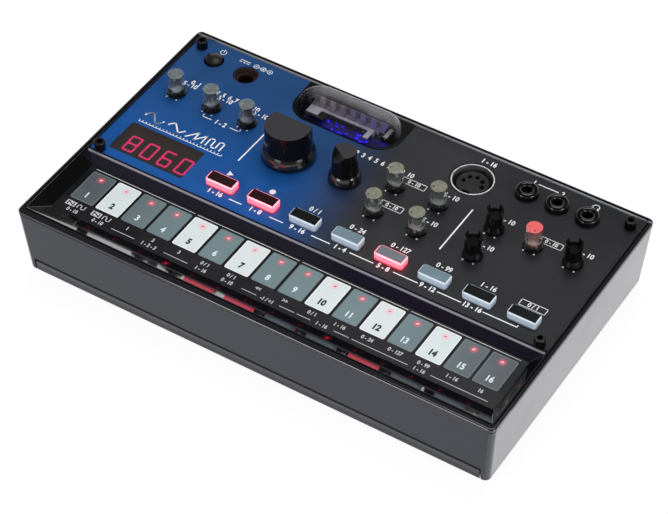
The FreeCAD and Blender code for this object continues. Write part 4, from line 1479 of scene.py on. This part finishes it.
@dataclass
class Panel:
    """Printed panel sheet with its marks.

    Attributes:
        line: Width of the separators in millimetres.
        fine: Width of the fine lines in millimetres.
        thin: Width of the signs' lines in millimetres.
        figure: Height of the figures in millimetres.
        travel_dot: Offset of the two travel dots from a knob's axis in millimetres.
        scale_y: Offset of the scale figures from a knob's axis in millimetres.
        boxed: Knobs with a second, framed scale beside them.
        boxed_x: Offset of their first scale from their axes in millimetres.
        button_level: Y of the button row's line in millimetres.
        over_level: Y of the figures over the buttons in millimetres.
        sign_y: Y of the signs of polarity in millimetres.
        wave: Lowest and highest Y of the wave shapes in millimetres.
    """

    line: float = 0.56
    fine: float = 0.42
    thin: float = 0.28
    figure: float = 2.15
    travel_dot: Place = (2.1, -3.4)
    scale_y: float = 6.1
    boxed: tuple[str, ...] = ("spindle_attack", "spindle_envelope", "spindle_tempo")
    boxed_x: float = -4.2
    button_level: float = -12.55
    over_level: float = -1.4
    sign_y: float = 51.6
    wave: Place = (6.2, 10.2)

    def scales(self, marks: Marks, names: list[str]) -> None:
        """Prints the two travel dots and the scale of each shaft knob.

        Args:
            marks: Where they are printed.
            names: Nodes whose middles are the knobs' axes.
        """
        across, along = self.travel_dot
        for name in names:
            centre = middle(name) / MM
            for side in (-1, 1):
                marks.spot(centre.x + side * across, centre.y + along, 0.33)
            words, shift = ("0-5", self.boxed_x) if name in self.boxed else ("0 - 5 - 10", 0.0)
            marks.text(words, centre.x + shift, centre.y + self.scale_y, self.figure)

    def lines(self, marks: Marks) -> None:
        """Prints separators, brackets and frames.

        Args:
            marks: Where they are printed.
        """
        marks.bar((-44.5, 5.5), (-44.1, 22.4), self.line)
        marks.bar((39.3, 5.4), (39.4, 28.5), self.line)
        marks.path([(-68.7, 19.6), (-68.7, 18.4), (-65.0, 18.4)], self.fine)
        marks.path([(-56.5, 18.4), (-52.7, 18.4), (-52.7, 19.6)], self.fine)
        for left, right, low, high in ((10.4, 20.0, 27.3, 30.0), (10.0, 18.8, 13.2, 16.0),
                                       (66.6, 75.2, 27.0, 29.8), (75.2, 85.2, -2.85, 0.0)):
            marks.path([(left, low), (right, low), (right, high), (left, high)], self.fine * 0.6, True)

    def figures(self, marks: Marks) -> None:
        """Prints the figures that belong to no single shaft knob.

        Args:
            marks: Where they are printed.
        """
        long_scale = "  ".join(str(number) for number in range(11))
        for words, x, y, share in (
                ("1 - 2", -60.8, 18.4, 1.0), (long_scale, -67.6, 31.7, 1.0), (long_scale, -1.7, 31.7, 1.0),
                ("0 - 10", 15.2, 28.65, 0.8), ("0 - 10", 14.4, 14.6, 0.8), ("0 - 10", 70.9, 28.4, 0.8),
                ("0 / 1", 80.2, -1.42, 0.9), ("1", 51.3, 52.0, 1.0), ("2", 62.6, 52.0, 1.0),
                ("1 - 16", 32.6, 52.2, 1.0)):
            marks.text(words, x, y, self.figure * share)
        for words, x in (("1 - 16", -42.4), ("1 - 8", -25.3), ("9 - 16", -7.8), ("1 - 4", 9.8),
                         ("5 - 8", 27.3), ("9 - 12", 45.0), ("13 - 16", 62.6)):
            marks.text(words, x, self.button_level, self.figure)
        for number, words in enumerate(("0 / 1", "0 - 24", "0 - 127", "0 - 99", "1 - 16"), 3):
            marks.text(words, middle("button_%d" % number).x / MM, self.over_level, self.figure)

    def button_row(self, marks: Marks) -> None:
        """Prints the broken line along the buttons.

        Args:
            marks: Where it is printed.
        """
        for start, end in ((-36.4, -31.1), (-19.4, -13.7), (-1.9, 5.7), (13.8, 23.4), (31.4, 41.2),
                           (48.9, 58.3), (66.8, 80.2)):
            marks.bar((start, self.button_level), (end, self.button_level), self.fine)
        marks.bar((80.0, self.button_level), (80.0, self.button_level + 1.0), self.fine)

    def signs(self, marks: Marks) -> None:
        """Prints the plain signs at power, sockets and the first two buttons.

        Args:
            marks: Where they are printed.
        """
        marks.arc(-81.8, 51.8, 1.15, 0.3, 120, 300)
        for x in (-66.9, -63.8, -60.9):
            marks.arc(x, self.sign_y, 0.95, self.thin)
        marks.spot(-63.8, self.sign_y, 0.42)
        for left, right in ((-66.0, -64.7), (-62.9, -61.8), (-67.4, -66.4), (-61.4, -60.4)):
            marks.bar((left, self.sign_y), (right, self.sign_y), self.thin)
        for left, right, y, width in ((-74.2, -69.8, 52.1, 0.3), (-74.15, -73.05, 51.1, 0.3),
                                      (-72.55, -71.45, 51.1, 0.3), (-70.95, -69.85, 51.1, 0.3),
                                      (52.8, 61.0, 52.0, self.fine)):
            marks.bar((left, y), (right, y), width)
        for x, low, high, width in ((-81.8, 51.9, 53.4, 0.3), (-60.9, 51.1, 52.1, self.thin),
                                    (74.55, 51.1, 52.3, 0.75), (76.85, 51.1, 52.3, 0.75)):
            marks.bar((x, low), (x, high), width)
        marks.arc(75.7, 52.4, 1.25, 0.36, -20, 220)
        marks.spot(-43.2, -1.7, 1.5, 3, math.radians(-90))
        marks.spot(-25.2, -1.4, 1.2, 24)

    def wave_strip(self, marks: Marks) -> None:
        """Prints a strip of plain wave shapes where the panel has room over the display.

        Args:
            marks: Where it is printed.
        """
        low, high = self.wave
        level, swing = (low + high) / 2, (high - low) / 2
        sine = [(-86.8 + step * 0.5, level + swing * math.sin(step * math.pi / 8)) for step in range(17)]
        for points in (
                sine,
                [(-76.6, level), (-74.8, high), (-71.2, low), (-69.4, level)],
                [(-67.8, low), (-64.4, high), (-64.4, low), (-61.0, high), (-61.0, low)],
                [(-59.2, low), (-59.2, high), (-57.2, high), (-57.2, low), (-55.2, low), (-55.2, high),
                 (-53.2, high), (-53.2, low)]):
            marks.path(points, self.line)
        marks.bar((-87.0, 4.1), (-51.2, 4.1), self.thin)
        for step in range(25):
            x = -87.0 + step * 1.4917
            marks.bar((x, 4.1), (x, 5.0), self.thin)

    def build(self, shaft_knobs: list[str]) -> None:
        """Dresses the sheet and prints its marks.

        Args:
            shaft_knobs: Nodes at the axes of the small knobs.
        """
        dress(PanelPrint("panel_print"), "face_panel")
        marks = Marks(top_of("face_panel"))
        for draw in (self.lines, self.figures, self.button_row, self.signs, self.wave_strip):
            draw(marks)
        self.scales(marks, shaft_knobs)
        marks.finish("panel_marks", Ink("white_ink", (0.92, 0.93, 0.94)), "panel_print")


@dataclass
class Keyboard:
    """Touch keyboard: plate, keys, numbers and printed signs.

    Attributes:
        row: Places of the keys.
        figure: Height of the keys' numbers in millimetres.
        figure_y: Y of the keys' numbers in millimetres.
        figure_width: Width of the keys' numbers as a share of the font's own.
        dark_bold: Extra stroke width of the dark numbers as a share of their height.
        light_y: Y of the light line behind the keys in millimetres.
        upper_y: Y of the first row of signs in millimetres.
        lower_y: Y of the second row of signs in millimetres.
        sign: Height of the signs in millimetres.
        fine: Width of the plate's fine lines in millimetres.
    """

    row: KeyRow = KeyRow()
    figure: float = 2.6
    figure_y: float = -35.0
    figure_width: float = 0.82
    dark_bold: float = 0.075
    light_y: float = -22.2
    upper_y: float = -41.0
    lower_y: float = -43.9
    sign: float = 1.6
    fine: float = 0.24

    def dress_keys(self) -> None:
        """Dresses keys, plate and board."""
        grey = KeyFinish("key_grey", self.row, linear(114, 137, 141), linear(85, 90, 96),
                         linear(116, 130, 136), linear(214, 84, 104), (1.0, 0.93, 0.94), 0.30)
        white = KeyFinish("key_white", self.row, linear(222, 231, 233), linear(217, 228, 229),
                          (1.0, 1.0, 1.0), linear(255, 186, 196), linear(140, 50, 62), 0.04)
        dress(grey, "keys_grey")
        dress(white, "keys_white")
        dress(PlateFinish("plate_black", self.row), "keyboard_plate")
        dress(CircuitBoard("board_keys"), "keyboard_board")

    def number_keys(self) -> None:
        """Numbers the keys."""
        light, dark = (Marks(top_of("keys_grey")) for _ in range(2))
        for number in range(1, self.row.count + 1):
            place = (str(number), self.row.centre(number), self.figure_y, self.figure)
            if number in self.row.white:
                dark.text(*place, bold=self.dark_bold, narrow=self.figure_width)
            else:
                light.text(*place, narrow=self.figure_width)
        dark.finish("numbers_dark", Ink("dark_ink", (0.010, 0.010, 0.012)), "key_white")
        light.finish("numbers_light", Ink("pale_ink", linear(225, 243, 246)), "key_grey")

    def wave_signs(self, marks: Marks, waves: Marks, x: float) -> None:
        """Prints a saw wave in a filled box and a square wave under a key.

        Args:
            marks: Where the pale marks are printed.
            waves: Where the dark marks on them are printed.
            x: X of the key's middle in millimetres.
        """
        low, high = self.upper_y - 1.15, self.upper_y + 1.15
        marks.bar((x - 4.4, self.upper_y), (x - 0.5, self.upper_y), high - low)
        saw = ((-3.6, low + 0.5), (-3.6, high - 0.5), (-1.3, low + 0.5), (-1.3, high - 0.5))
        low, high = low + 0.3, high - 0.3
        square = ((0.5, low), (0.5, high), (1.9, high), (1.9, low), (3.4, low), (3.4, high))
        for ink, points, width in ((waves, saw, 0.42), (marks, square, 0.36)):
            ink.path([(x + along, y) for along, y in points], width)

    def print_plate(self) -> None:
        """Prints lines and plain signs on the plate round the keys."""
        centre = self.row.centre
        marks = Marks(top_of("keyboard_plate"))
        waves = Marks(top_of("keyboard_plate") + marks.thickness * MM)
        half = self.row.width() / MM / 2
        for first in (1, 5, 9, 13):
            marks.bar((centre(first) - half, self.light_y), (centre(first + 3) + half, self.light_y), 0.26)
        for number in (1, 2):
            self.wave_signs(marks, waves, centre(number))
        upper = {3: "1", 4: "2", 5: "3", 6: "0 / 1", 7: "0 / 1", 8: "<<", 9: ">>", 10: "0 / 1",
                 11: "1 - 16", 12: "0 - 24", 13: "0 - 127", 14: "0 - 99", 15: "1 - 16", 16: "16"}
        lower = {1: "0 - 10", 2: "0 - 10", 4: "1 - 2 - 3", 6: "1 - 16", 7: "0 - 10", 8.5: "-1 / +1",
                 10.5: "1 - 16", 14: "1 - 16"}
        for y, signs in ((self.upper_y, upper), (self.lower_y, lower)):
            for number, words in signs.items():
                marks.text(words, centre(number), y, self.sign)
        for start, end in ((2.55, 3.45), (4.6, 5.5), (7.55, 8.1), (8.95, 9.5), (9.6, 10.1), (10.95, 11.5),
                           (11.6, 13.6), (14.4, 16.4)):
            marks.bar((centre(start), self.lower_y), (centre(end), self.lower_y), self.fine)
        marks.finish("plate_marks", Ink("plate_ink", linear(205, 206, 208)), "key_plate")
        waves.finish("plate_waves", Ink("wave_ink", linear(22, 21, 24)), "key_plate")

    def build(self) -> None:
        """Dresses and marks the keyboard."""
        self.dress_keys()
        self.number_keys()
        self.print_plate()


@dataclass
class Buttons:
    """Function buttons and the power button.

    Attributes:
        lit: Numbers of the lit buttons.
        pale: Numbers of the buttons with a grey label.
        count: Number of buttons.
        label: Size of the label on the cap in millimetres.
        label_thickness: Thickness of the label in millimetres.
        corner: Radius of the label's corners in millimetres.
        cap_height: Height of the caps over the panel in millimetres.
    """

    lit: tuple[int, ...] = (1, 2, 5)
    pale: tuple[int, ...] = (4, 5, 6)
    count: int = 8
    label: Place = (10.5, 4.3)
    label_thickness: float = 0.1
    corner: float = 0.18
    cap_height: float = 2.9

    def add_label(self, number: int, material: bpy.types.Material) -> None:
        """Makes the inlaid label on a cap.

        Args:
            number: Number of the button.
            material: The label's material.
        """
        node = "button_%d" % number
        centre = middle(node)
        form = bmesh.new()
        size = Matrix.Diagonal((*(side * MM for side in (*self.label, self.label_thickness)), 1.0))
        lift = Matrix.Translation((centre.x, centre.y, top_of(node) - 0.00003))
        bmesh.ops.create_cube(form, size=1.0, matrix=lift @ size)
        upright = [edge for edge in form.edges
                   if abs(edge.verts[0].co.z - edge.verts[1].co.z) > self.label_thickness * MM / 2]
        bmesh.ops.bevel(form, geom=upright, offset=self.corner * MM, affect="EDGES", segments=4,
                        profile=0.5, material=-1)
        place_piece("label_%d" % number, form, material, node + "_body")

    def build(self) -> None:
        """Dresses every button and lays its label."""
        cap = (top_of("face_panel"), self.cap_height * MM)
        plain = ButtonShell("button_pale", linear(202, 220, 240), linear(226, 237, 250),
                            linear(146, 160, 176), *cap)
        # copy of the pale button with painted light: sides, edge and foot tinted pink by its glow
        lit = ButtonShell("button_pink", linear(170, 140, 156), linear(225, 214, 220),
                          linear(120, 8, 44), *cap, (1.0, 0.055, 0.09), 2.2)
        names = {number: "button_%d" % number for number in range(1, self.count + 1)}
        dress(lit, *(names[number] for number in self.lit))
        dress(plain, *(name for number, name in names.items() if number not in self.lit))
        # second copies of the black and grey labels with painted light: tinted by the glow of the lit
        # buttons
        black, glow_tinted_black, grey, dim = (
            finish.material() for finish in (
                MouldedPlastic("label_black", (0.0035, 0.004, 0.0045), Gloss.SATIN, specular=0.10),
                MouldedPlastic("label_warm", (0.018, 0.004, 0.006), Gloss.SATIN, specular=0.10),
                MouldedPlastic("label_grey", linear(104, 128, 141), Gloss.SATIN),
                MouldedPlastic("label_dim", linear(104, 108, 116), Gloss.SATIN)))
        for number in names:
            # lit buttons take the copies tinted by painted glow
            unlit, glowing = (grey, dim) if number in self.pale else (black, glow_tinted_black)
            self.add_label(number, glowing if number in self.lit else unlit)
        dress(MouldedPlastic("power_grey", linear(26, 25, 27), Gloss.SATIN, specular=0.2), "power_button")
        dress(MouldedPlastic("switch_black", (0.01, 0.01, 0.01), Gloss.MATTE), "button_switches")


@dataclass
class Knobs:
    """Small lit knobs, shaft knobs and the two pointer knobs.

    Attributes:
        on_blue: Names of the small lit knobs on the panel's blue part.
        on_dark: Names of those on its dark part.
        red: Name of the red one.
        crown: Names of the black shaft knobs.
        pointer: Names of the pointer knobs.
        skirt: Height of the shaft's skirt over the panel in millimetres.
        flare: Height of the pointer knobs' flared foot over the panel in millimetres.
    """

    # on_blue: Names of the small lit knobs on the panel's blue part, whose caps are tinted blue by painted
    # refraction of the panel.
    on_blue: tuple[str, ...] = ("pitch", "saturation", "level")
    on_dark: tuple[str, ...] = ("attack", "decay", "envelope", "accent")
    red: str = "tempo"
    crown: tuple[str, ...] = ("drive", "tone", "volume")
    pointer: tuple[str, ...] = ("cutoff", "peak")
    skirt: float = 1.75
    flare: float = 3.6

    def shafts(self) -> list[str]:
        """Returns the nodes at the axes of all shaft knobs."""
        small = ["spindle_" + name for name in (*self.on_blue, *self.on_dark, self.red)]
        return small + ["knob_" + name for name in self.crown]

    def build(self) -> None:
        """Dresses every knob."""
        low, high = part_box("knob_pitch")
        ends = (high[2], low[2])
        skirt_top = top_of("face_panel") + self.skirt * MM
        for caps, names in (
                (ClearCap("cap_clear", *ends, linear(146, 146, 128), linear(112, 120, 120),
                          linear(212, 216, 214), linear(54, 56, 50)), self.on_dark),
                # copy of the clear cap tinted blue: painted refraction of the blue panel under it
                (ClearCap("cap_clear_blue_tinted", *ends, linear(122, 130, 128), linear(104, 118, 130),
                          linear(206, 214, 220), linear(44, 52, 60)), self.on_blue),
                (ClearCap("cap_red", *ends, linear(243, 102, 106), linear(176, 140, 136),
                          linear(232, 214, 208), linear(150, 70, 68), 0.16), (self.red,)),
                (MouldedPlastic("shaft_black", (0.002, 0.002, 0.0025), specular=0.40), self.crown)):
            dress(caps, *("knob_" + name for name in names))
        dress(SpindleFinish("spindle_core", skirt_top, (0.085, 0.090, 0.088)),
              *("spindle_" + name for name in (*self.on_blue, *self.on_dark)))
        dress(SpindleFinish("spindle_red", skirt_top, (0.20, 0.09, 0.085)), "spindle_" + self.red)
        for name in self.pointer:
            node = "knob_" + name
            foot_level = top_of("face_panel") + self.flare * MM
            dress(KnobFinish("finish_" + name, top_of(node), foot_level), node)
        dress(Metal("pot_zinc", (0.55, 0.56, 0.57), 0.35), "pot_bodies")


@dataclass
class TubeWindow:
    """Domed window with the flat tube and its lamps.

    Attributes:
        lamp: Colour of the lamps.
        lamp_power: Strength of the lamps.
        plate_thickness: Thickness of the tube's base plate in millimetres.
        bar_share: Place of the electrode bar as a share of the electrodes' depth.
        bar_width: Width of the electrode bar in millimetres.
        clip_length: Length of the clip at the right in millimetres.
        bar_count: Number of pale bars behind the electrode bar.
        bars_gap: Gap between the electrode bar and the pale bars in millimetres.
        wall_depth: Distance of the back wall's inner face from the tube's back edge in millimetres.
    """

    lamp: Colour = (0.02, 0.012, 1.0)
    lamp_power: float = 1.6
    plate_thickness: float = 1.0
    bar_share: float = 0.44
    bar_width: float = 1.3
    clip_length: float = 3.4
    bar_count: int = 7
    bars_gap: float = 2.6
    wall_depth: float = 1.0

    def plan(self) -> TubePlan:
        """Measures the tube.

        Returns:
            Places in it.
        """
        low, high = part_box("tube_electrodes")
        foot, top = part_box("vacuum_tube")
        bar_front = low[1] + self.bar_share * (high[1] - low[1])
        bar_back = bar_front + self.bar_width * MM
        clip_x = high[0] - self.clip_length * MM
        return TubePlan(
            left=low[0], front=low[1], bar_front=bar_front, bars_front=bar_back + self.bars_gap * MM,
            lead_y=bar_back + self.bar_width * MM, wall_front=top[1] - self.wall_depth * MM, clip_x=clip_x,
            plate_level=foot[2] + self.plate_thickness * MM, pitch=(clip_x - low[0]) / self.bar_count)

    def build(self) -> None:
        """Dresses the window and what shows in it."""
        dress(MouldedPlastic("bezel_black", (0.005, 0.005, 0.0055)), "tube_bezel")
        low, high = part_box("tube_window")
        dress(DomeFinish("dome_smoke", (low[1] + high[1]) / 2, (high[1] - low[1]) / 2), "tube_window")
        plan = self.plan()
        dress(TubeGlass("tube_glass", plan, self.lamp), "vacuum_tube")
        dress(ElectrodeFinish("electrode_silver", plan), "tube_electrodes")
        dress(Lamp("lamp_blue", self.lamp, self.lamp_power), "tube_lamps")


@dataclass
class Display:
    """Four digit light display under its window.

    Attributes:
        digits: What it shows.
        pitch: Spacing of the digits in millimetres.
        size: Width and height between the segments' middle lines in millimetres.
        stroke: Width of a segment in millimetres.
        gap: Gap at each end of a segment in millimetres.
        origin: Lower left corner of the first digit in millimetres.
        SEGMENTS: Letters of the segments that a digit lights.
        ENDS: Both ends of a segment, in widths and half heights from the digit's lower left corner.
    """

    digits: str = "8060"
    pitch: float = 7.5
    size: Place = (4.1, 7.5)
    stroke: float = 0.82
    gap: float = 0.08
    origin: Place = (-84.9, -9.7)

    SEGMENTS = {"0": "abcdef", "6": "afgedc", "8": "abcdefg"}
    ENDS = {"a": (0, 2, 1, 2), "b": (1, 1, 1, 2), "c": (1, 0, 1, 1), "d": (0, 0, 1, 0), "e": (0, 0, 0, 1),
            "f": (0, 1, 0, 2), "g": (0, 1, 1, 1)}

    def draw(self, marks: Marks, letters: str, index: int) -> None:
        """Draws segments of one digit.

        Args:
            marks: Where they are drawn.
            letters: Letters of the segments.
            index: Place of the digit from the left.
        """
        corner = Vector((self.origin[0] + index * self.pitch, self.origin[1]))
        width, half = self.size[0], self.size[1] / 2
        for letter in letters:
            ends = self.ENDS[letter]
            start, end = (corner + Vector((x * width, y * half)) for x, y in (ends[:2], ends[2:]))
            run = (end - start).normalized() * self.gap
            marks.bar(tuple(start + run), tuple(end - run), self.stroke)

    def build(self) -> None:
        """Dresses window and module and lights the digits."""
        dress(ClearPlastic("window_smoke", linear(70, 64, 62), 0.55, 0.95), "display_window")
        dress(MouldedPlastic("module_black", (0.020, 0.017, 0.016), Gloss.MATTE), "display_module")
        marks = Marks(top_of("display_module"))
        for index, digit in enumerate(self.digits):
            self.draw(marks, self.SEGMENTS[digit], index)
        marks.finish("display_digits", Lamp("segment_red", (1.0, 0.015, 0.20), 3.2), "light_red")


@dataclass
class Sockets:
    """Power inlet, five pin socket and audio sockets.

    Attributes:
        black: Colour of the audio sockets.
        insert: Colour of the five pin socket's moulding.
        ring: Colour of its ring.
        inlet: Colour of the power inlet.
    """

    black: Colour = (0.004, 0.004, 0.0045)
    insert: Colour = (0.012, 0.012, 0.013)
    ring: Colour = (0.78, 0.78, 0.79)
    inlet: Colour = (0.035, 0.024, 0.022)

    def build(self) -> None:
        """Dresses the sockets."""
        dress(MouldedPlastic("socket_black", self.black, Gloss.POLISHED, specular=0.3), "mini_jacks")
        dress(MouldedPlastic("insert_black", self.insert, Gloss.SATIN, specular=0.3), "midi_socket_insert")
        dress(Metal("ring_nickel", self.ring, 0.36), "midi_socket_shell")
        dress(MouldedPlastic("inlet_brown", self.inlet), "dc_socket")


@dataclass
class Inside:
    """Boards, speaker, cells and contacts, seen only with the case open.

    Attributes:
        paper: Colour of the speaker's cone.
        lamp: Colour of the lamps under keys and buttons.
        nickel: Colour of the contacts.
    """

    paper: Colour = (0.012, 0.012, 0.012)
    lamp: Colour = (1.0, 0.10, 0.10)
    nickel: Colour = (0.66, 0.65, 0.62)

    def build(self) -> None:
        """Dresses the inner pieces."""
        dress(CircuitBoard("board_main"), "main_board")
        dress(Lamp("lamp_red", self.lamp, 2.0), "indicator_leds")
        dress(MouldedPlastic("speaker_paper", self.paper, Gloss.MATTE, 0.00004, 0.0012), "speaker")
        dress(CellWrap("cell_wrap"), "batteries")
        dress(Metal("contact_nickel", self.nickel, 0.25), "battery_contacts")


@dataclass(frozen=True)
class Softbox:
    """A rectangular light that faces the object.

    Attributes:
        name: Name of the light.
        turn: Azimuth from the camera's in degrees, positive to its right.
        elevation: Height angle in degrees.
        distance: Distance in metres.
        size: Width and height in metres.
        radiance: Brightness of its face.
    """

    name: str
    turn: float
    elevation: float
    distance: float
    size: Place
    radiance: float

    def hang(self, camera_turn: float) -> None:
        """Adds the light to the scene.

        Args:
            camera_turn: Azimuth of the camera in degrees.
        """
        light = bpy.data.lights.new(self.name, "AREA")
        light.shape = "RECTANGLE"
        light.size, light.size_y = self.size
        light.energy = self.radiance * math.pi * self.size[0] * self.size[1]
        holder = bpy.data.objects.new(self.name, light)
        angle = math.radians(camera_turn + self.turn - 90)
        rise = math.radians(self.elevation)
        out = Vector((math.cos(angle) * math.cos(rise), math.sin(angle) * math.cos(rise), math.sin(rise)))
        holder.location = out * self.distance
        holder.rotation_euler = out.to_track_quat("Z", "Y").to_euler()
        holder.visible_camera = False
        bpy.context.scene.collection.objects.link(holder)


@dataclass
class Studio:
    """Floor, world light and softboxes.

    Attributes:
        camera_turn: Azimuth of the camera in degrees.
        world_level: Strength of the even light on matte surfaces.
        low_level: Brightness of the room near the horizon, in reflections.
        high_level: Brightness of the ceiling, in reflections.
        floor_side: Brightness of the floor beyond the right side, in reflections.
        side_x: X between which the floor brightens, in metres.
        floor_level: Brightness of the floor's own white.
        floor_share: Share of that white in what the camera sees; the rest takes the shadow.
        floor_half: Half the floor's width in metres.
        boxes: The lights.
    """

    camera_turn: float = 32.1
    world_level: float = 0.38
    low_level: float = 1.0
    high_level: float = 0.06
    floor_side: float = 1.76
    side_x: Place = (0.090, 0.0965)
    floor_level: float = 1.07
    floor_share: float = 0.87
    floor_half: float = 3.0
    boxes: tuple[Softbox, ...] = (
        Softbox("box_left", -47, 22, 1.1, (0.45, 0.35), 9.0),
        Softbox("box_right", 47, 22, 1.1, (0.45, 0.35), 9.0),
        Softbox("box_over", 157, 71, 1.25, (0.60, 0.60), 6.0),
        Softbox("box_back", 180, 6, 1.3, (2.2, 0.4), 1.15),
        Softbox("box_slope", -72, 28, 1.3, (0.55, 0.5), 0.14),
    )

    def floor_material(self) -> bpy.types.Material:
        """Mixes the floor's own white with a matte surface that takes the shadow.

        Returns:
            The material.
        """
        graph = Graph("floor_white")
        rays = graph.node("LightPath").outputs
        side = graph.x.ramp(*self.side_x, 0.0, self.floor_side - 1.0)
        glow = side * rays["Is Glossy Ray"] + self.floor_level
        bent = graph.math("MAXIMUM", rays["Is Glossy Ray"], rays["Is Transmission Ray"])
        seen = bent | rays["Is Camera Ray"]
        matte = graph.node("BsdfDiffuse", {"Color": (0.80, 0.80, 0.80)})
        white = graph.node("Emission", {"Color": (1.0, 1.0, 1.0), "Strength": glow})
        mixed = graph.node("MixShader")
        parts = (seen * self.floor_share, matte.outputs[0], white.outputs[0])
        for socket, value in zip(mixed.inputs, parts):
            graph.put(socket, value)
        return graph.close(mixed)

    def floor(self) -> None:
        """Makes the plain pale floor."""
        form = bmesh.new()
        bmesh.ops.create_grid(form, x_segments=1, y_segments=1, size=self.floor_half)
        mesh = bpy.data.meshes.new("floor")
        form.to_mesh(mesh)
        form.free()
        floor = bpy.data.objects.new("floor", mesh)
        bpy.context.scene.collection.objects.link(floor)
        mesh.materials.append(self.floor_material())

    def world(self) -> None:
        """Sets the world: even light, with a darker ceiling in reflections."""
        graph = Graph("studio", world=True)
        rays = graph.node("LightPath").outputs
        room = graph.z.ramp(0.35, 0.55, self.low_level, self.high_level)
        shade = graph.blend(rays["Is Glossy Ray"], self.world_level, room, kind="FLOAT")
        seen = graph.blend(rays["Is Camera Ray"], shade, 1.0, kind="FLOAT")
        bpy.context.scene.world = graph.close(graph.node("Background", {"Strength": seen}))

    def build(self) -> None:
        """Builds floor, world and lights."""
        self.floor()
        self.world()
        for box in self.boxes:
            box.hang(self.camera_turn)


@dataclass
class PhotoCamera:
    """Camera at the photograph's viewpoint.

    Attributes:
        turn: Azimuth in degrees.
        elevation: Elevation in degrees.
        roll: Roll in degrees.
        target: Point looked at, in millimetres.
        distance: Distance in millimetres.
        focal_pixels: Focal length in pixels of the photograph's width.
        width_pixels: The photograph's width.
        sensor: Width of the sensor in millimetres.
        clip: Nearest and farthest distance seen, in metres.
    """

    turn: float = 32.1
    elevation: float = 45.668
    roll: float = -0.045
    target: Colour = (-4.453, 6.405, 1.8)
    distance: float = 904.889
    focal_pixels: float = 2503.523
    width_pixels: float = 668.0
    sensor: float = 36.0
    clip: Place = (0.05, 20.0)

    def build(self) -> None:
        """Places the camera."""
        data = bpy.data.cameras.new("photo")
        data.sensor_fit = "HORIZONTAL"
        data.sensor_width = self.sensor
        data.lens = self.focal_pixels / self.width_pixels * self.sensor
        data.clip_start, data.clip_end = self.clip
        turn, rise, roll = (math.radians(value) for value in (self.turn, self.elevation, self.roll))
        back = Vector((math.sin(turn) * math.cos(rise), -math.cos(turn) * math.cos(rise), math.sin(rise)))
        right = Vector((0, 0, 1)).cross(back).normalized()
        up = back.cross(right)
        rolled_right = math.cos(roll) * right + math.sin(roll) * up
        rolled_up = -math.sin(roll) * right + math.cos(roll) * up
        place = Matrix((rolled_right, rolled_up, back)).transposed().to_4x4()
        place.translation = (Vector(self.target) + back * self.distance) * MM
        camera = bpy.data.objects.new("photo", data)
        camera.matrix_world = place
        bpy.context.scene.collection.objects.link(camera)
        bpy.context.scene.camera = camera


def main() -> None:
    """Builds every sub-assembly in order."""
    logging.basicConfig(level=logging.INFO)
    knobs = Knobs()
    Case().build()
    Panel().build(knobs.shafts())
    for assembly in (Keyboard(), Buttons(), knobs, TubeWindow(), Display(), Sockets(), Inside(), Studio(),
                     PhotoCamera()):
        assembly.build()
    bpy.context.scene.view_settings.view_transform = "Standard"


if __name__ == "__main__":
    main()
